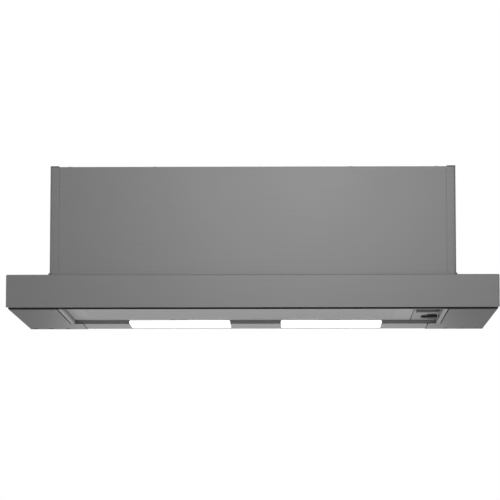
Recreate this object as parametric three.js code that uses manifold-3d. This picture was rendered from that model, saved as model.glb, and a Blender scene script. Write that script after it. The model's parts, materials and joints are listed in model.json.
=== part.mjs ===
// Pull-out cooker hood, 60 cm class, closed: a steel body that stands in a wall cabinet, wings
// that hide the runners, and a visor that slides out towards the cook behind a full-width facia.
// Millimetres. +X is the hood's right as the cook sees it, +Y points to the wall, +Z is up.
// The origin is the middle of the underside, so the hood stands on z = 0.
import * as THREE from "three";
import { mergeVertices } from "three/addons/utils/BufferGeometryUtils.js";
import Module from "manifold-3d";

const wasm = await Module();
wasm.setup();

// ---------------------------------------------------------------- driving dimensions
// Whole hood
const DEPTH = 300; // facia front to wall face, visor closed
const BODY_WIDTH = 496; // upper body
const BODY_TOP = 174.8; // top face of the upper body
const BODY_SETBACK = 20; // body front plane behind the facia's front face
const SHEET = 1; // steel sheet of body, wings and facia
const SEAT_GAP = 0.3; // between pieces that rest on or in each other
const PAST_FACE = 1; // how far a cutter runs past the face it cuts, or a joined block into its neighbour

// Facia and pull grip
const FACIA_WIDTH = 598;
const FACIA_HEIGHT = 40;
const FACIA_DEPTH = 18.7;
const FACIA_BEND = 1.6; // outer radius of the folded corners
const GRIP_REACH = 29.5; // facia front face to the back of the pull grip
const GRIP_HEIGHT = 13;
const GRIP_WALL = 2.2;
const GRIP_RAISE = 0.3; // above the underside

// Wings, the flat side boxes of the lower part
const WING_INSET = 0.8; // wing side behind the facia's end
const WING_HEIGHT = 38;
const WING_GAP = 1.3; // open joint round the visor
const ACCESS_SLOT_LENGTH = 9;
const ACCESS_SLOT_WIDTH = 6;
const ACCESS_SLOT_SHARES = [0.33, 0.63, 0.91]; // of the plate's width at the rear, from its inner edge
const WING_FLANGE = 6; // cover's inner edge, turned up along the body

// Visor frame
const VISOR_WIDTH = 476.4; // over the two side bars
const BAR_WIDTH = 4.7;
const BAR_HEIGHT = 14;
const BAR_FLANGE = 1.5; // outward flange that carries the runner
const RECESS = 4.6; // filter and controls above the underside
const CROSSBAR_DEPTH = 20;
const CROSSBAR_HEIGHT = 12.7;
const CROSSBAR_WALL = 1.5;

// Runners
const RUNNER_WALL = 1.2;
const RUNNER_HEIGHT = 29;
const RUNNER_DEPTH = 11; // section size across the hood
const RUNNER_STEP = 0.7; // running clearance from one member to the next
const RUNNER_SETBACK = 3; // members behind the wing front
const RUNNER_REAR = 30.2; // members' back end in front of the wall face
const RUNNER_OFFSET = 5.2; // runner section outside the side bar
const RUNNER_LIP = 9; // upturned edge of the bar's flange, on the inner member

// Visor filter
const FILTER_THICK = 8;
const FILTER_BORDER = 24;
const FILTER_SHEET = 1.2; // folded frame
const FILTER_MESH_THICK = 2.4; // layered mesh pack
const FILTER_GAP = 0.8;
const LATCH_WIDTH = 30;
const LATCH_DEPTH = 10;
const LATCH_TRAVEL = 4;
const LATCH_RIM = 2.2; // round the finger dish, and the dish's depth
const LATCH_SPACING = 196;

// Controls
const CONTROL_WIDTH = 33.4;
const CONTROL_THICK = 2;
const CONTROL_BOX_HEIGHT = 13;
const CONTROL_BOX_LEAD = 4; // box in front of the rocker
const CONTROL_BOX_REAR = 2; // box in front of the rear crossbar
const CONTROL_BOX_INSET = 2; // box inside the plate's edges
const STEM_REACH = 2; // rocker and slider stems, into the box
const ROCKER_WIDTH = 28.6;
const ROCKER_DEPTH = 14;
const ROCKER_PROUD = 3; // below the control plate
const ROCKER_AHEAD = 27.5; // rocker's front edge ahead of the visor's middle
const ROCKER_TILT_ROOM = 0.7;
const BEZEL_WIDTH = 19.2;
const BEZEL_DEPTH = 20;
const BEZEL_PROUD = 1.9;
const BEZEL_BEHIND = 47.5; // bezel's front edge behind the visor's middle
const SLIDER_WIDTH = 12.1;
const SLIDER_DEPTH = 22;
const SLIDER_PROUD = 4.1;
const SLIDER_LEAD = 15; // knob in front of the bezel
const SLIDER_TRAVEL = 9;
const SLIDER_STEM = 3;
const SLIDER_STEM_ROOM = 0.75;
const SLIDER_MARGIN = 2.8; // knob to the plate's right edge at rest

// Lamps
const LAMP_PANEL_WIDTH = 445;
const LAMP_PANEL_REAR = 6; // panel's back edge in front of the wall face
const LAMP_PANEL_DEPTH = 71.7; // back edge to the visor's open joint
const LAMP_PANEL_SEAM = 1; // open joint between the panel and each wing plate
const LAMP_WIDTH = 130;
const LAMP_DEPTH = 64;
const LAMP_SPACING = 196;
const LAMP_LENS_THICK = 4;
const LAMP_LENS_RAISE = 0.3; // above the underside
const LAMP_BODY_HEIGHT = 16;

// Deck between visor bay and blower chamber, with its two filters
const DECK_SHEET = 1.2;
const UPPER_FILTER_WIDTH = 222;
const UPPER_FILTER_THICK = 7.5;
const UPPER_FILTER_SPACING = 230;
const UPPER_FILTER_LAP = 12; // filter over the window's edge
const UPPER_FILTER_SETBACK = 24; // filter behind the deck's front edge

// Blower
const BLOWER_FROM_WALL = 113; // wheel's axis in front of the wall face
const BLOWER_AXIS_Z = 106;
const WHEEL_RADIUS = 46;
const WHEEL_WIDTH = 92;
const WHEEL_BLADES = 26;
const BLADE_DEPTH = 9;
const BLADE_THICK = 1.1;
const BLADE_LEAN = 0.16; // radians, how far the tip leads the root
const WHEEL_PLATE = 1.8;
const HUB_RADIUS = 10;
const HUB_LENGTH = 26;
const SHAFT_RADIUS = 4;
const SHAFT_GAP = 0.35;
const SCROLL_WALL = 1.5;
const SCROLL_TONGUE_GAP = 5;
const SCROLL_GROWTH = 15; // how much further out the scroll ends than it starts
const SCROLL_TONGUE_DEG = 80; // from the wall side, up and over the wheel
const SCROLL_STEPS = 34;
const SCROLL_SIDE_GAP = 4; // wheel to cheek
const EYE_RADIUS = 34;
const EYE_RING_WIDTH = 6;
const EYE_RING_DEPTH = 5;
const MOTOR_RADIUS = 38;
const MOTOR_LENGTH = 60;
const MOTOR_BOSS_RADIUS = 16;
const MOTOR_BOSS_LENGTH = 8;
const BRACKET_BORE = 8; // radius of the shaft's way through the bracket
const BRACKET_RADIUS = 46;
const BRACKET_SHEET = 2;

// Outlet collar with its two damper flaps
const COLLAR_RADIUS = 60;
const COLLAR_WALL = 2;
const COLLAR_HEIGHT = 16;
const COLLAR_FLANGE = 9;
const COLLAR_FLANGE_THICK = 2;
const COLLAR_FROM_WALL = 82; // collar's middle
const DAMPER_PIN_RADIUS = 1.5;
const DAMPER_PIN_RAISE = 8; // pin axis above the collar flange's top
const FLAP_THICK = 1.2;
const FLAP_EDGE_GAP = 1;
const KNUCKLE_WALL = 1.4;
const KNUCKLE_LENGTH = 10;
const KNUCKLE_GAP = 0.6;
const KNUCKLE_INNER_X = 14; // middle of the first flap's inner knuckles
const STOP_RIM = 3;

// Electrical pieces
const TERMINAL_WIDTH = 74;
const TERMINAL_HEIGHT = 46;
const TERMINAL_DEPTH = 30;
const TERMINAL_X = 185;
const TERMINAL_Z = 138;
const TERMINAL_WALL = 2;
const COVER_THICK = 2.5;
const GLAND_RADIUS = 8;
const GLAND_BORE = 4;
const GLAND_NUT = 11;
const GLAND_LENGTH = 14;
const GLAND_FROM_WALL = 38;
const CAPACITOR_RADIUS = 15;
const CAPACITOR_LENGTH = 58;
const CAPACITOR_X = 160;
const CAPACITOR_FROM_WALL = 55;
const DRIVER_WIDTH = 110;
const DRIVER_DEPTH = 40;
const DRIVER_HEIGHT = 22;
const DRIVER_X = -150;
const DRIVER_FROM_WALL = 50;
const SENSOR_WIDTH = 26;
const SENSOR_DEPTH = 8;
const SENSOR_HEIGHT = 8;
const MAGNET_WIDTH = 14;
const MAGNET_THICK = 3;
const FLANGE_CAP_THICK = 1;
const FLANGE_WIDTH = 10.8; // front flange of each body side
const FLANGE_CAP_DEPTH = 14;

// ---------------------------------------------------------------- places worked out from them
const front = -DEPTH / 2;
const rear = DEPTH / 2;
const bodyFront = front + BODY_SETBACK;
const bodyHalf = BODY_WIDTH / 2;
const wingOuter = FACIA_WIDTH / 2 - WING_INSET;
const wingFront = front + GRIP_REACH + WING_GAP;
const coverFront = front + FACIA_DEPTH + WING_GAP;
const gripTop = GRIP_RAISE + GRIP_HEIGHT;
const visorHalf = VISOR_WIDTH / 2;
const visorInner = visorHalf - BAR_WIDTH;
const wingInner = visorHalf + WING_GAP;
const lampPanelRear = rear - LAMP_PANEL_REAR;
const lampPanelFront = lampPanelRear - LAMP_PANEL_DEPTH;
const visorRear = lampPanelFront - WING_GAP;
const visorMiddle = (front + visorRear) / 2;
const lampPanelHalf = LAMP_PANEL_WIDTH / 2;
const rearPanelFront = rear - SHEET;
const deckZ = WING_HEIGHT + SEAT_GAP;
const bodyTopUnder = BODY_TOP - SHEET;
const controlRight = visorInner - SEAT_GAP;
const controlLeft = controlRight - CONTROL_WIDTH;
const bayFront = front + GRIP_REACH + SEAT_GAP;
const controlTop = RECESS + CONTROL_THICK;
const runnerMouth = visorHalf + RUNNER_OFFSET;
const runnerOuter = runnerMouth + RUNNER_DEPTH;
const runnerStep = RUNNER_WALL + RUNNER_STEP;
const filterTop = RECESS + FILTER_THICK;
const collarBase = BODY_TOP + SEAT_GAP;
const collarBore = COLLAR_RADIUS - COLLAR_WALL;
const damperZ = collarBase + COLLAR_FLANGE_THICK + DAMPER_PIN_RAISE;
const blowerY = rear - BLOWER_FROM_WALL;
const collarY = rear - COLLAR_FROM_WALL;
const glandY = rear - GLAND_FROM_WALL;
const driverY = rear - DRIVER_FROM_WALL;
const scrollHalf = WHEEL_WIDTH / 2 + SCROLL_SIDE_GAP;
const cheekOuter = scrollHalf + SEAT_GAP + SCROLL_WALL;
const tongueAngle = THREE.MathUtils.degToRad(SCROLL_TONGUE_DEG);
const scrollEndAngle = 2 * Math.PI;
const scrollTop = bodyTopUnder - SEAT_GAP;
const SEGMENTS = 40;

// ---------------------------------------------------------------- finishes
const brushedSteel = new THREE.MeshStandardMaterial({ color: 0x8a8a8a, roughness: 0.35, metalness: 1 });
const galvanised = new THREE.MeshStandardMaterial({ color: 0xa3a6a8, roughness: 0.5, metalness: 1 });
const aluminium = new THREE.MeshStandardMaterial({ color: 0xa9abad, roughness: 0.45, metalness: 1 });
const blackPlastic = new THREE.MeshStandardMaterial({ color: 0x1c1c1d, roughness: 0.55, metalness: 0 });
const greyPlastic = new THREE.MeshStandardMaterial({ color: 0x8f9091, roughness: 0.45, metalness: 0 });
const lampPlastic = new THREE.MeshStandardMaterial({ color: 0xf3f4f4, roughness: 0.3, metalness: 0 });
const shaftSteel = new THREE.MeshStandardMaterial({ color: 0xb8babc, roughness: 0.25, metalness: 1 });

// ---------------------------------------------------------------- shape helpers
const point = (x, y) => new THREE.Vector2(x, y);

// A block from its low corner to its high corner.
function block(low, high) {
  const size = high.map((value, axis) => value - low[axis]);
  const geometry = new THREE.BoxGeometry(...size);
  return geometry.translate(...low.map((value, axis) => value + size[axis] / 2));
}

function extruded(outline, length, holes) {
  const shape = new THREE.Shape(outline);
  shape.holes = holes.map((hole) => new THREE.Path(hole));
  return new THREE.ExtrudeGeometry(shape, { depth: length, bevelEnabled: false, curveSegments: SEGMENTS });
}

// Outline in (x, y), standing from z0 to z1.
function alongZ(outline, z0, z1, holes = []) {
  return extruded(outline, z1 - z0, holes).translate(0, 0, z0);
}

// Outline in (x, z), running from y0 to y1.
function alongY(outline, y0, y1, holes = []) {
  return extruded(outline, y1 - y0, holes).rotateX(Math.PI / 2).translate(0, y1, 0);
}

// Outline in (y, z), running from x0 to x1.
function alongX(outline, x0, x1, holes = []) {
  const turn = new THREE.Matrix4().makeBasis(
    new THREE.Vector3(0, 1, 0),
    new THREE.Vector3(0, 0, 1),
    new THREE.Vector3(1, 0, 0),
  );
  return extruded(outline, x1 - x0, holes).applyMatrix4(turn).translate(x0, 0, 0);
}

function rectangle(x0, y0, x1, y1) {
  return [point(x0, y0), point(x1, y0), point(x1, y1), point(x0, y1)];
}

// Points of an arc about (cx, cy), angles in radians.
function arc(cx, cy, radius, from, to, steps) {
  const at = (i) => from + ((to - from) * i) / steps;
  const place = (angle) => point(cx + radius * Math.cos(angle), cy + radius * Math.sin(angle));
  return Array.from({ length: steps + 1 }, (_, i) => place(at(i)));
}

function circle(cx, cy, radius, steps = SEGMENTS) {
  return arc(cx, cy, radius, 0, 2 * Math.PI, steps).slice(0, -1);
}

function roundedRectangle(x0, y0, x1, y1, radius) {
  const quarter = Math.PI / 2;
  const steps = 4;
  return [
    ...arc(x1 - radius, y0 + radius, radius, -quarter, 0, steps),
    ...arc(x1 - radius, y1 - radius, radius, 0, quarter, steps),
    ...arc(x0 + radius, y1 - radius, radius, quarter, 2 * quarter, steps),
    ...arc(x0 + radius, y0 + radius, radius, 2 * quarter, 3 * quarter, steps),
  ];
}

// A slot with round ends, long along y.
function slotOutline(cx, cy, length, width) {
  const reach = (length - width) / 2;
  return [
    ...arc(cx, cy + reach, width / 2, 0, Math.PI, 8),
    ...arc(cx, cy - reach, width / 2, Math.PI, 2 * Math.PI, 8),
  ];
}

// A ring or tube about an axis along X or Z, from t0 to t1 on that axis.
function tube(axis, centre, outer, inner, t0, t1) {
  const run = axis === "x" ? alongX : alongZ;
  return run(circle(...centre, outer), t0, t1, inner ? [circle(...centre, inner)] : []);
}

// ---------------------------------------------------------------- joining and cutting
function toSolid(geometry) {
  const bare = geometry.clone();
  bare.deleteAttribute("normal");
  bare.deleteAttribute("uv");
  const merged = mergeVertices(bare, 1e-4);
  return new wasm.Manifold(
    new wasm.Mesh({
      numProp: 3,
      vertProperties: merged.attributes.position.array,
      triVerts: new Uint32Array(merged.index.array),
    }),
  );
}

function toGeometry(solid) {
  const mesh = solid.getMesh();
  const geometry = new THREE.BufferGeometry();
  geometry.setAttribute("position", new THREE.BufferAttribute(mesh.vertProperties, 3));
  geometry.setIndex(new THREE.BufferAttribute(mesh.triVerts, 1));
  const flat = geometry.toNonIndexed();
  flat.computeVertexNormals();
  return flat;
}

function join(...geometries) {
  return toGeometry(geometries.map(toSolid).reduce((whole, next) => whole.add(next)));
}

function cut(geometry, ...cutters) {
  return toGeometry(cutters.map(toSolid).reduce((whole, next) => whole.subtract(next), toSolid(geometry)));
}

// ---------------------------------------------------------------- the scene graph
const hood = new THREE.Group();

function add(name, geometry, material) {
  const mesh = new THREE.Mesh(geometry, material);
  mesh.name = name;
  hood.add(mesh);
  return mesh;
}

// The right-hand piece as modelled, and its mirror image on the left.
function addPair(name, geometry, material) {
  add(`${name}_right`, geometry, material);
  add(`${name}_left`, geometry, material).scale.x = -1;
}

// ---------------------------------------------------------------- upper body
function addBody() {
  const sideBottom = deckZ;
  const sideTop = BODY_TOP - SEAT_GAP;
  const flangeEnd = bodyHalf - FLANGE_WIDTH;
  const sideRear = rearPanelFront - SEAT_GAP;
  const sideSection = [
    point(flangeEnd, bodyFront),
    point(bodyHalf, bodyFront),
    point(bodyHalf, sideRear),
    point(bodyHalf - SHEET, sideRear),
    point(bodyHalf - SHEET, bodyFront + SHEET),
    point(flangeEnd, bodyFront + SHEET),
  ];
  addPair("body_side", alongZ(sideSection, sideBottom, sideTop), brushedSteel);

  const capOutline = rectangle(flangeEnd, bodyFront, bodyHalf, bodyFront + FLANGE_CAP_DEPTH);
  addPair("flange_cap", alongZ(capOutline, BODY_TOP, BODY_TOP + FLANGE_CAP_THICK), blackPlastic);

  const frontHalf = flangeEnd - SEAT_GAP;
  add(
    "body_front",
    block([-frontHalf, bodyFront, deckZ], [frontHalf, bodyFront + SHEET, BODY_TOP]),
    brushedSteel,
  );

  const innerHalf = bodyHalf - SHEET - SEAT_GAP;
  const topFront = bodyFront + SHEET + SEAT_GAP;
  const topOutline = rectangle(-innerHalf, topFront, innerHalf, sideRear);
  const outletHole = circle(0, collarY, collarBore);
  const glandHole = circle(TERMINAL_X, glandY, GLAND_RADIUS + SHAFT_GAP, 24);
  add("body_top", alongZ(topOutline, bodyTopUnder, BODY_TOP, [outletHole, glandHole]), galvanised);

  const rearOutline = [
    point(-wingOuter, 0),
    point(-lampPanelHalf, 0),
    point(-lampPanelHalf, RECESS),
    point(lampPanelHalf, RECESS),
    point(lampPanelHalf, 0),
    point(wingOuter, 0),
    point(wingOuter, WING_HEIGHT),
    point(bodyHalf, WING_HEIGHT),
    point(bodyHalf, BODY_TOP),
    point(-bodyHalf, BODY_TOP),
    point(-bodyHalf, WING_HEIGHT),
    point(-wingOuter, WING_HEIGHT),
  ];
  add("body_rear", alongY(rearOutline, rearPanelFront, rear), galvanised);
}

// ---------------------------------------------------------------- wings
function addWings() {
  const wingRear = rearPanelFront - SEAT_GAP;
  const plateInner = lampPanelHalf + LAMP_PANEL_SEAM;
  const plateOutline = [
    point(wingInner, wingFront),
    point(wingOuter, wingFront),
    point(wingOuter, wingRear),
    point(plateInner, wingRear),
    point(plateInner, lampPanelFront),
    point(wingInner, lampPanelFront),
  ];
  const slotY = wingRear - ACCESS_SLOT_LENGTH;
  const slots = ACCESS_SLOT_SHARES.map((share) => {
    const slotX = THREE.MathUtils.lerp(plateInner, wingOuter, share);
    return slotOutline(slotX, slotY, ACCESS_SLOT_LENGTH, ACCESS_SLOT_WIDTH);
  });
  addPair("wing_plate", alongZ(plateOutline, 0, SHEET, slots), brushedSteel);

  const coverInner = bodyHalf + SEAT_GAP;
  const coverSection = [
    point(wingOuter, SHEET + SEAT_GAP),
    point(wingOuter, WING_HEIGHT),
    point(coverInner + SHEET, WING_HEIGHT),
    point(coverInner + SHEET, WING_HEIGHT + WING_FLANGE),
    point(coverInner, WING_HEIGHT + WING_FLANGE),
    point(coverInner, WING_HEIGHT - SHEET),
    point(wingOuter - SHEET, WING_HEIGHT - SHEET),
    point(wingOuter - SHEET, SHEET + SEAT_GAP),
  ];
  const gripWay = block(
    [coverInner - PAST_FACE, coverFront - PAST_FACE, 0],
    [wingOuter + PAST_FACE, wingFront, gripTop + SEAT_GAP],
  );
  const cover = cut(alongY(coverSection, coverFront, wingRear), gripWay);
  addPair("wing_cover", cover, brushedSteel);
}

// ---------------------------------------------------------------- deck and upper filters
function addDeck() {
  const half = bodyHalf - SHEET - SEAT_GAP;
  const deckFront = bodyFront + SHEET + SEAT_GAP;
  const deckRear = rearPanelFront - SEAT_GAP;
  const filterFront = deckFront + UPPER_FILTER_SETBACK;
  const windowHalfWidth = UPPER_FILTER_WIDTH / 2 - UPPER_FILTER_LAP;
  const windowFront = filterFront + UPPER_FILTER_LAP;
  const filterRear = lampPanelFront - WING_GAP;
  const windowRear = filterRear - UPPER_FILTER_LAP;
  const deckTop = deckZ + DECK_SHEET;
  const windows = [-1, 1].map((side) => {
    const middle = (side * UPPER_FILTER_SPACING) / 2;
    return block(
      [middle - windowHalfWidth, windowFront, deckZ - PAST_FACE],
      [middle + windowHalfWidth, windowRear, deckTop + PAST_FACE],
    );
  });
  const deck = block([-half, deckFront, deckZ], [half, deckRear, deckTop]);
  add("intake_deck", cut(deck, ...windows), galvanised);

  const top = deckZ - SEAT_GAP;
  const bottom = top - UPPER_FILTER_THICK;
  const x0 = UPPER_FILTER_SPACING / 2 - UPPER_FILTER_WIDTH / 2;
  const x1 = x0 + UPPER_FILTER_WIDTH;
  const cassette = block([x0, filterFront, bottom], [x1, filterRear, top]);
  const dish = block(
    [x0 + UPPER_FILTER_LAP, windowFront, bottom - PAST_FACE],
    [x1 - UPPER_FILTER_LAP, windowRear, top - FILTER_MESH_THICK],
  );
  addPair("upper_filter", cut(cassette, dish), aluminium);
}

// ---------------------------------------------------------------- lamps
// The panel's front edge turns up. Above the wing plates it is wider than the panel, and closes
// the visor's bay from wing to wing.
function addLamps() {
  const flangeBack = lampPanelFront + SHEET;
  const flangeHalf = wingInner - SEAT_GAP;
  const panel = join(
    block([-lampPanelHalf, lampPanelFront, 0], [lampPanelHalf, lampPanelRear, SHEET]),
    block([-lampPanelHalf, lampPanelFront, 0], [lampPanelHalf, flangeBack, SHEET + SEAT_GAP + PAST_FACE]),
    block([-flangeHalf, lampPanelFront, SHEET + SEAT_GAP], [flangeHalf, flangeBack, WING_HEIGHT - SEAT_GAP]),
  );
  const lensTop = LAMP_LENS_RAISE + LAMP_LENS_THICK;
  const windows = [-1, 1].map((side) => {
    const middle = (side * LAMP_SPACING) / 2;
    const half = LAMP_WIDTH / 2 + SEAT_GAP;
    return block(
      [middle - half, lampPanelFront - PAST_FACE, -PAST_FACE],
      [middle + half, lampPanelFront + LAMP_DEPTH + SEAT_GAP, lensTop + SEAT_GAP],
    );
  });
  add("lamp_panel", cut(panel, ...windows), brushedSteel);

  const x0 = LAMP_SPACING / 2 - LAMP_WIDTH / 2;
  const x1 = x0 + LAMP_WIDTH;
  const lensOutline = rectangle(x0, lampPanelFront, x1, lampPanelFront + LAMP_DEPTH);
  addPair("lamp_lens", alongZ(lensOutline, LAMP_LENS_RAISE, lensTop), lampPlastic);

  const bodyFrontY = lampPanelFront + SHEET + SEAT_GAP;
  const bodyBase = lensTop + SEAT_GAP;
  const housing = block(
    [x0, bodyFrontY, bodyBase],
    [x1, lampPanelFront + LAMP_DEPTH, bodyBase + LAMP_BODY_HEIGHT],
  );
  addPair("lamp_body", housing, blackPlastic);
}

// ---------------------------------------------------------------- facia and visor frame
// The grip runs from end to end of the facia, so the facia's end walls stop above it.
function addFacia() {
  const half = FACIA_WIDTH / 2;
  const back = front + FACIA_DEPTH;
  const outline = roundedRectangle(-half, 0, half, FACIA_HEIGHT, FACIA_BEND);
  const shell = alongY(outline, front, back);
  const hollow = block(
    [-half + SHEET, front + SHEET, -PAST_FACE],
    [half - SHEET, back + PAST_FACE, FACIA_HEIGHT - SHEET],
  );
  const gripWay = block(
    [-half - PAST_FACE, front + SHEET, -PAST_FACE],
    [half + PAST_FACE, back + PAST_FACE, gripTop + SEAT_GAP],
  );
  add("facia", cut(shell, hollow, gripWay), brushedSteel);

  const backingX = half - SHEET - SEAT_GAP;
  const backingBase = gripTop + SEAT_GAP;
  const backingTop = FACIA_HEIGHT - SHEET - SEAT_GAP;
  add(
    "facia_backing",
    block([-backingX, back - SHEET, backingBase], [backingX, back, backingTop]),
    galvanised,
  );

  const gripFront = front + SHEET + SEAT_GAP;
  const gripRear = front + GRIP_REACH;
  const gripSection = [
    point(gripFront, GRIP_RAISE),
    point(gripFront + GRIP_WALL, GRIP_RAISE),
    point(gripFront + GRIP_WALL, gripTop - GRIP_WALL),
    point(gripRear - GRIP_WALL, gripTop - GRIP_WALL),
    point(gripRear - GRIP_WALL, GRIP_RAISE),
    point(gripRear, GRIP_RAISE),
    point(gripRear, gripTop),
    point(gripFront, gripTop),
  ];
  add("pull_grip", alongX(gripSection, -half, half), blackPlastic);
}

function addVisorFrame() {
  const flangeEnd = runnerOuter - 2 * runnerStep - RUNNER_WALL - SEAT_GAP;
  const flangeBase = BAR_HEIGHT - BAR_FLANGE;
  const barSection = [
    point(visorInner, 0),
    point(visorHalf, 0),
    point(visorHalf, flangeBase),
    point(flangeEnd, flangeBase),
    point(flangeEnd, BAR_HEIGHT + RUNNER_LIP),
    point(flangeEnd - BAR_FLANGE, BAR_HEIGHT + RUNNER_LIP),
    point(flangeEnd - BAR_FLANGE, BAR_HEIGHT),
    point(visorInner, BAR_HEIGHT),
  ];
  addPair("visor_bar", alongY(barSection, bayFront, visorRear), greyPlastic);

  const crossFront = front + FACIA_DEPTH + SEAT_GAP;
  const crossZ = BAR_HEIGHT + SEAT_GAP;
  const crossbarTop = crossZ + CROSSBAR_HEIGHT;
  const channel = (y0, y1, z0) => [
    point(y0, z0),
    point(y1, z0),
    point(y1, z0 + CROSSBAR_WALL),
    point(y0 + CROSSBAR_WALL, z0 + CROSSBAR_WALL),
    point(y0 + CROSSBAR_WALL, crossbarTop),
    point(y0, crossbarTop),
  ];
  const frontSection = channel(crossFront, crossFront + CROSSBAR_DEPTH, crossZ);
  add("visor_crossbar_front", alongX(frontSection, -visorHalf, visorHalf), galvanised);

  const rearSection = channel(-visorRear, -visorRear + CROSSBAR_DEPTH, crossZ)
    .map(({ x, y }) => point(-x, y))
    .reverse();
  add("visor_crossbar_rear", alongX(rearSection, -visorHalf, visorHalf), galvanised);
}

// ---------------------------------------------------------------- runners
// Three nested members on each side. The outer one stands on the wing plate, the inner one
// carries the side bar, and the middle one covers half the visor's travel.
function addRunners() {
  const base = SHEET + SEAT_GAP;
  const runnerFront = wingFront + RUNNER_SETBACK;
  const member = (level) => {
    const z0 = base + level * runnerStep;
    const z1 = base + RUNNER_HEIGHT - level * runnerStep;
    const back = runnerOuter - level * runnerStep;
    return [
      point(runnerMouth, z0),
      point(back, z0),
      point(back, z1),
      point(runnerMouth, z1),
      point(runnerMouth, z1 - RUNNER_WALL),
      point(back - RUNNER_WALL, z1 - RUNNER_WALL),
      point(back - RUNNER_WALL, z0 + RUNNER_WALL),
      point(runnerMouth, z0 + RUNNER_WALL),
    ];
  };
  const runnerRear = rear - RUNNER_REAR;
  addPair("runner_outer", alongY(member(0), runnerFront, runnerRear), galvanised);
  addPair("runner_middle", alongY(member(1), runnerFront, runnerRear), galvanised);
  addPair("runner_inner", alongY(member(2), runnerFront, runnerRear), galvanised);
}

// ---------------------------------------------------------------- visor filter and its latches
function addVisorFilter() {
  const x0 = -visorInner + FILTER_GAP;
  const x1 = controlLeft - FILTER_GAP;
  const y0 = bayFront + FILTER_GAP;
  const y1 = visorRear - FILTER_GAP;
  const window = [
    [x0 + FILTER_BORDER, y0 + FILTER_BORDER],
    [x1 - FILTER_BORDER, y1 - FILTER_BORDER],
  ];
  const slab = block([x0, y0, RECESS], [x1, y1, filterTop]);
  const aboveTop = filterTop + PAST_FACE;
  const opening = block([...window[0], RECESS - PAST_FACE], [...window[1], aboveTop]);
  const grooveBase = RECESS + FILTER_SHEET;
  const groove = cut(
    block(
      [x0 + FILTER_SHEET, y0 + FILTER_SHEET, grooveBase],
      [x1 - FILTER_SHEET, y1 - FILTER_SHEET, aboveTop],
    ),
    block(
      [...window[0].map((value) => value - FILTER_SHEET), RECESS],
      [...window[1].map((value) => value + FILTER_SHEET), aboveTop + PAST_FACE],
    ),
  );
  const latchY0 = y1 - LATCH_DEPTH - SEAT_GAP;
  const pockets = [-1, 1].map((side) => {
    const middle = (side * LATCH_SPACING) / 2;
    return block(
      [middle - LATCH_WIDTH / 2 - SEAT_GAP, latchY0 - LATCH_TRAVEL - SEAT_GAP, RECESS - PAST_FACE],
      [middle + LATCH_WIDTH / 2 + SEAT_GAP, y1 + PAST_FACE, filterTop - FILTER_SHEET],
    );
  });
  add("filter_frame", cut(slab, opening, groove, ...pockets), aluminium);

  add(
    "filter_mesh",
    block(
      [...window[0].map((value) => value + SEAT_GAP), RECESS],
      [...window[1].map((value) => value - SEAT_GAP), RECESS + FILTER_MESH_THICK],
    ),
    aluminium,
  );

  const latchTop = filterTop - FILTER_SHEET - SEAT_GAP;
  const latchX0 = LATCH_SPACING / 2 - LATCH_WIDTH / 2;
  const latch = block(
    [latchX0, latchY0, RECESS + SEAT_GAP],
    [latchX0 + LATCH_WIDTH, latchY0 + LATCH_DEPTH, latchTop],
  );
  const fingerDish = block(
    [latchX0 + LATCH_RIM, latchY0 + LATCH_RIM, RECESS],
    [latchX0 + LATCH_WIDTH - LATCH_RIM, latchY0 + LATCH_DEPTH - LATCH_RIM, RECESS + LATCH_RIM],
  );
  addPair("filter_latch", cut(latch, fingerDish), aluminium);
}

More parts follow.
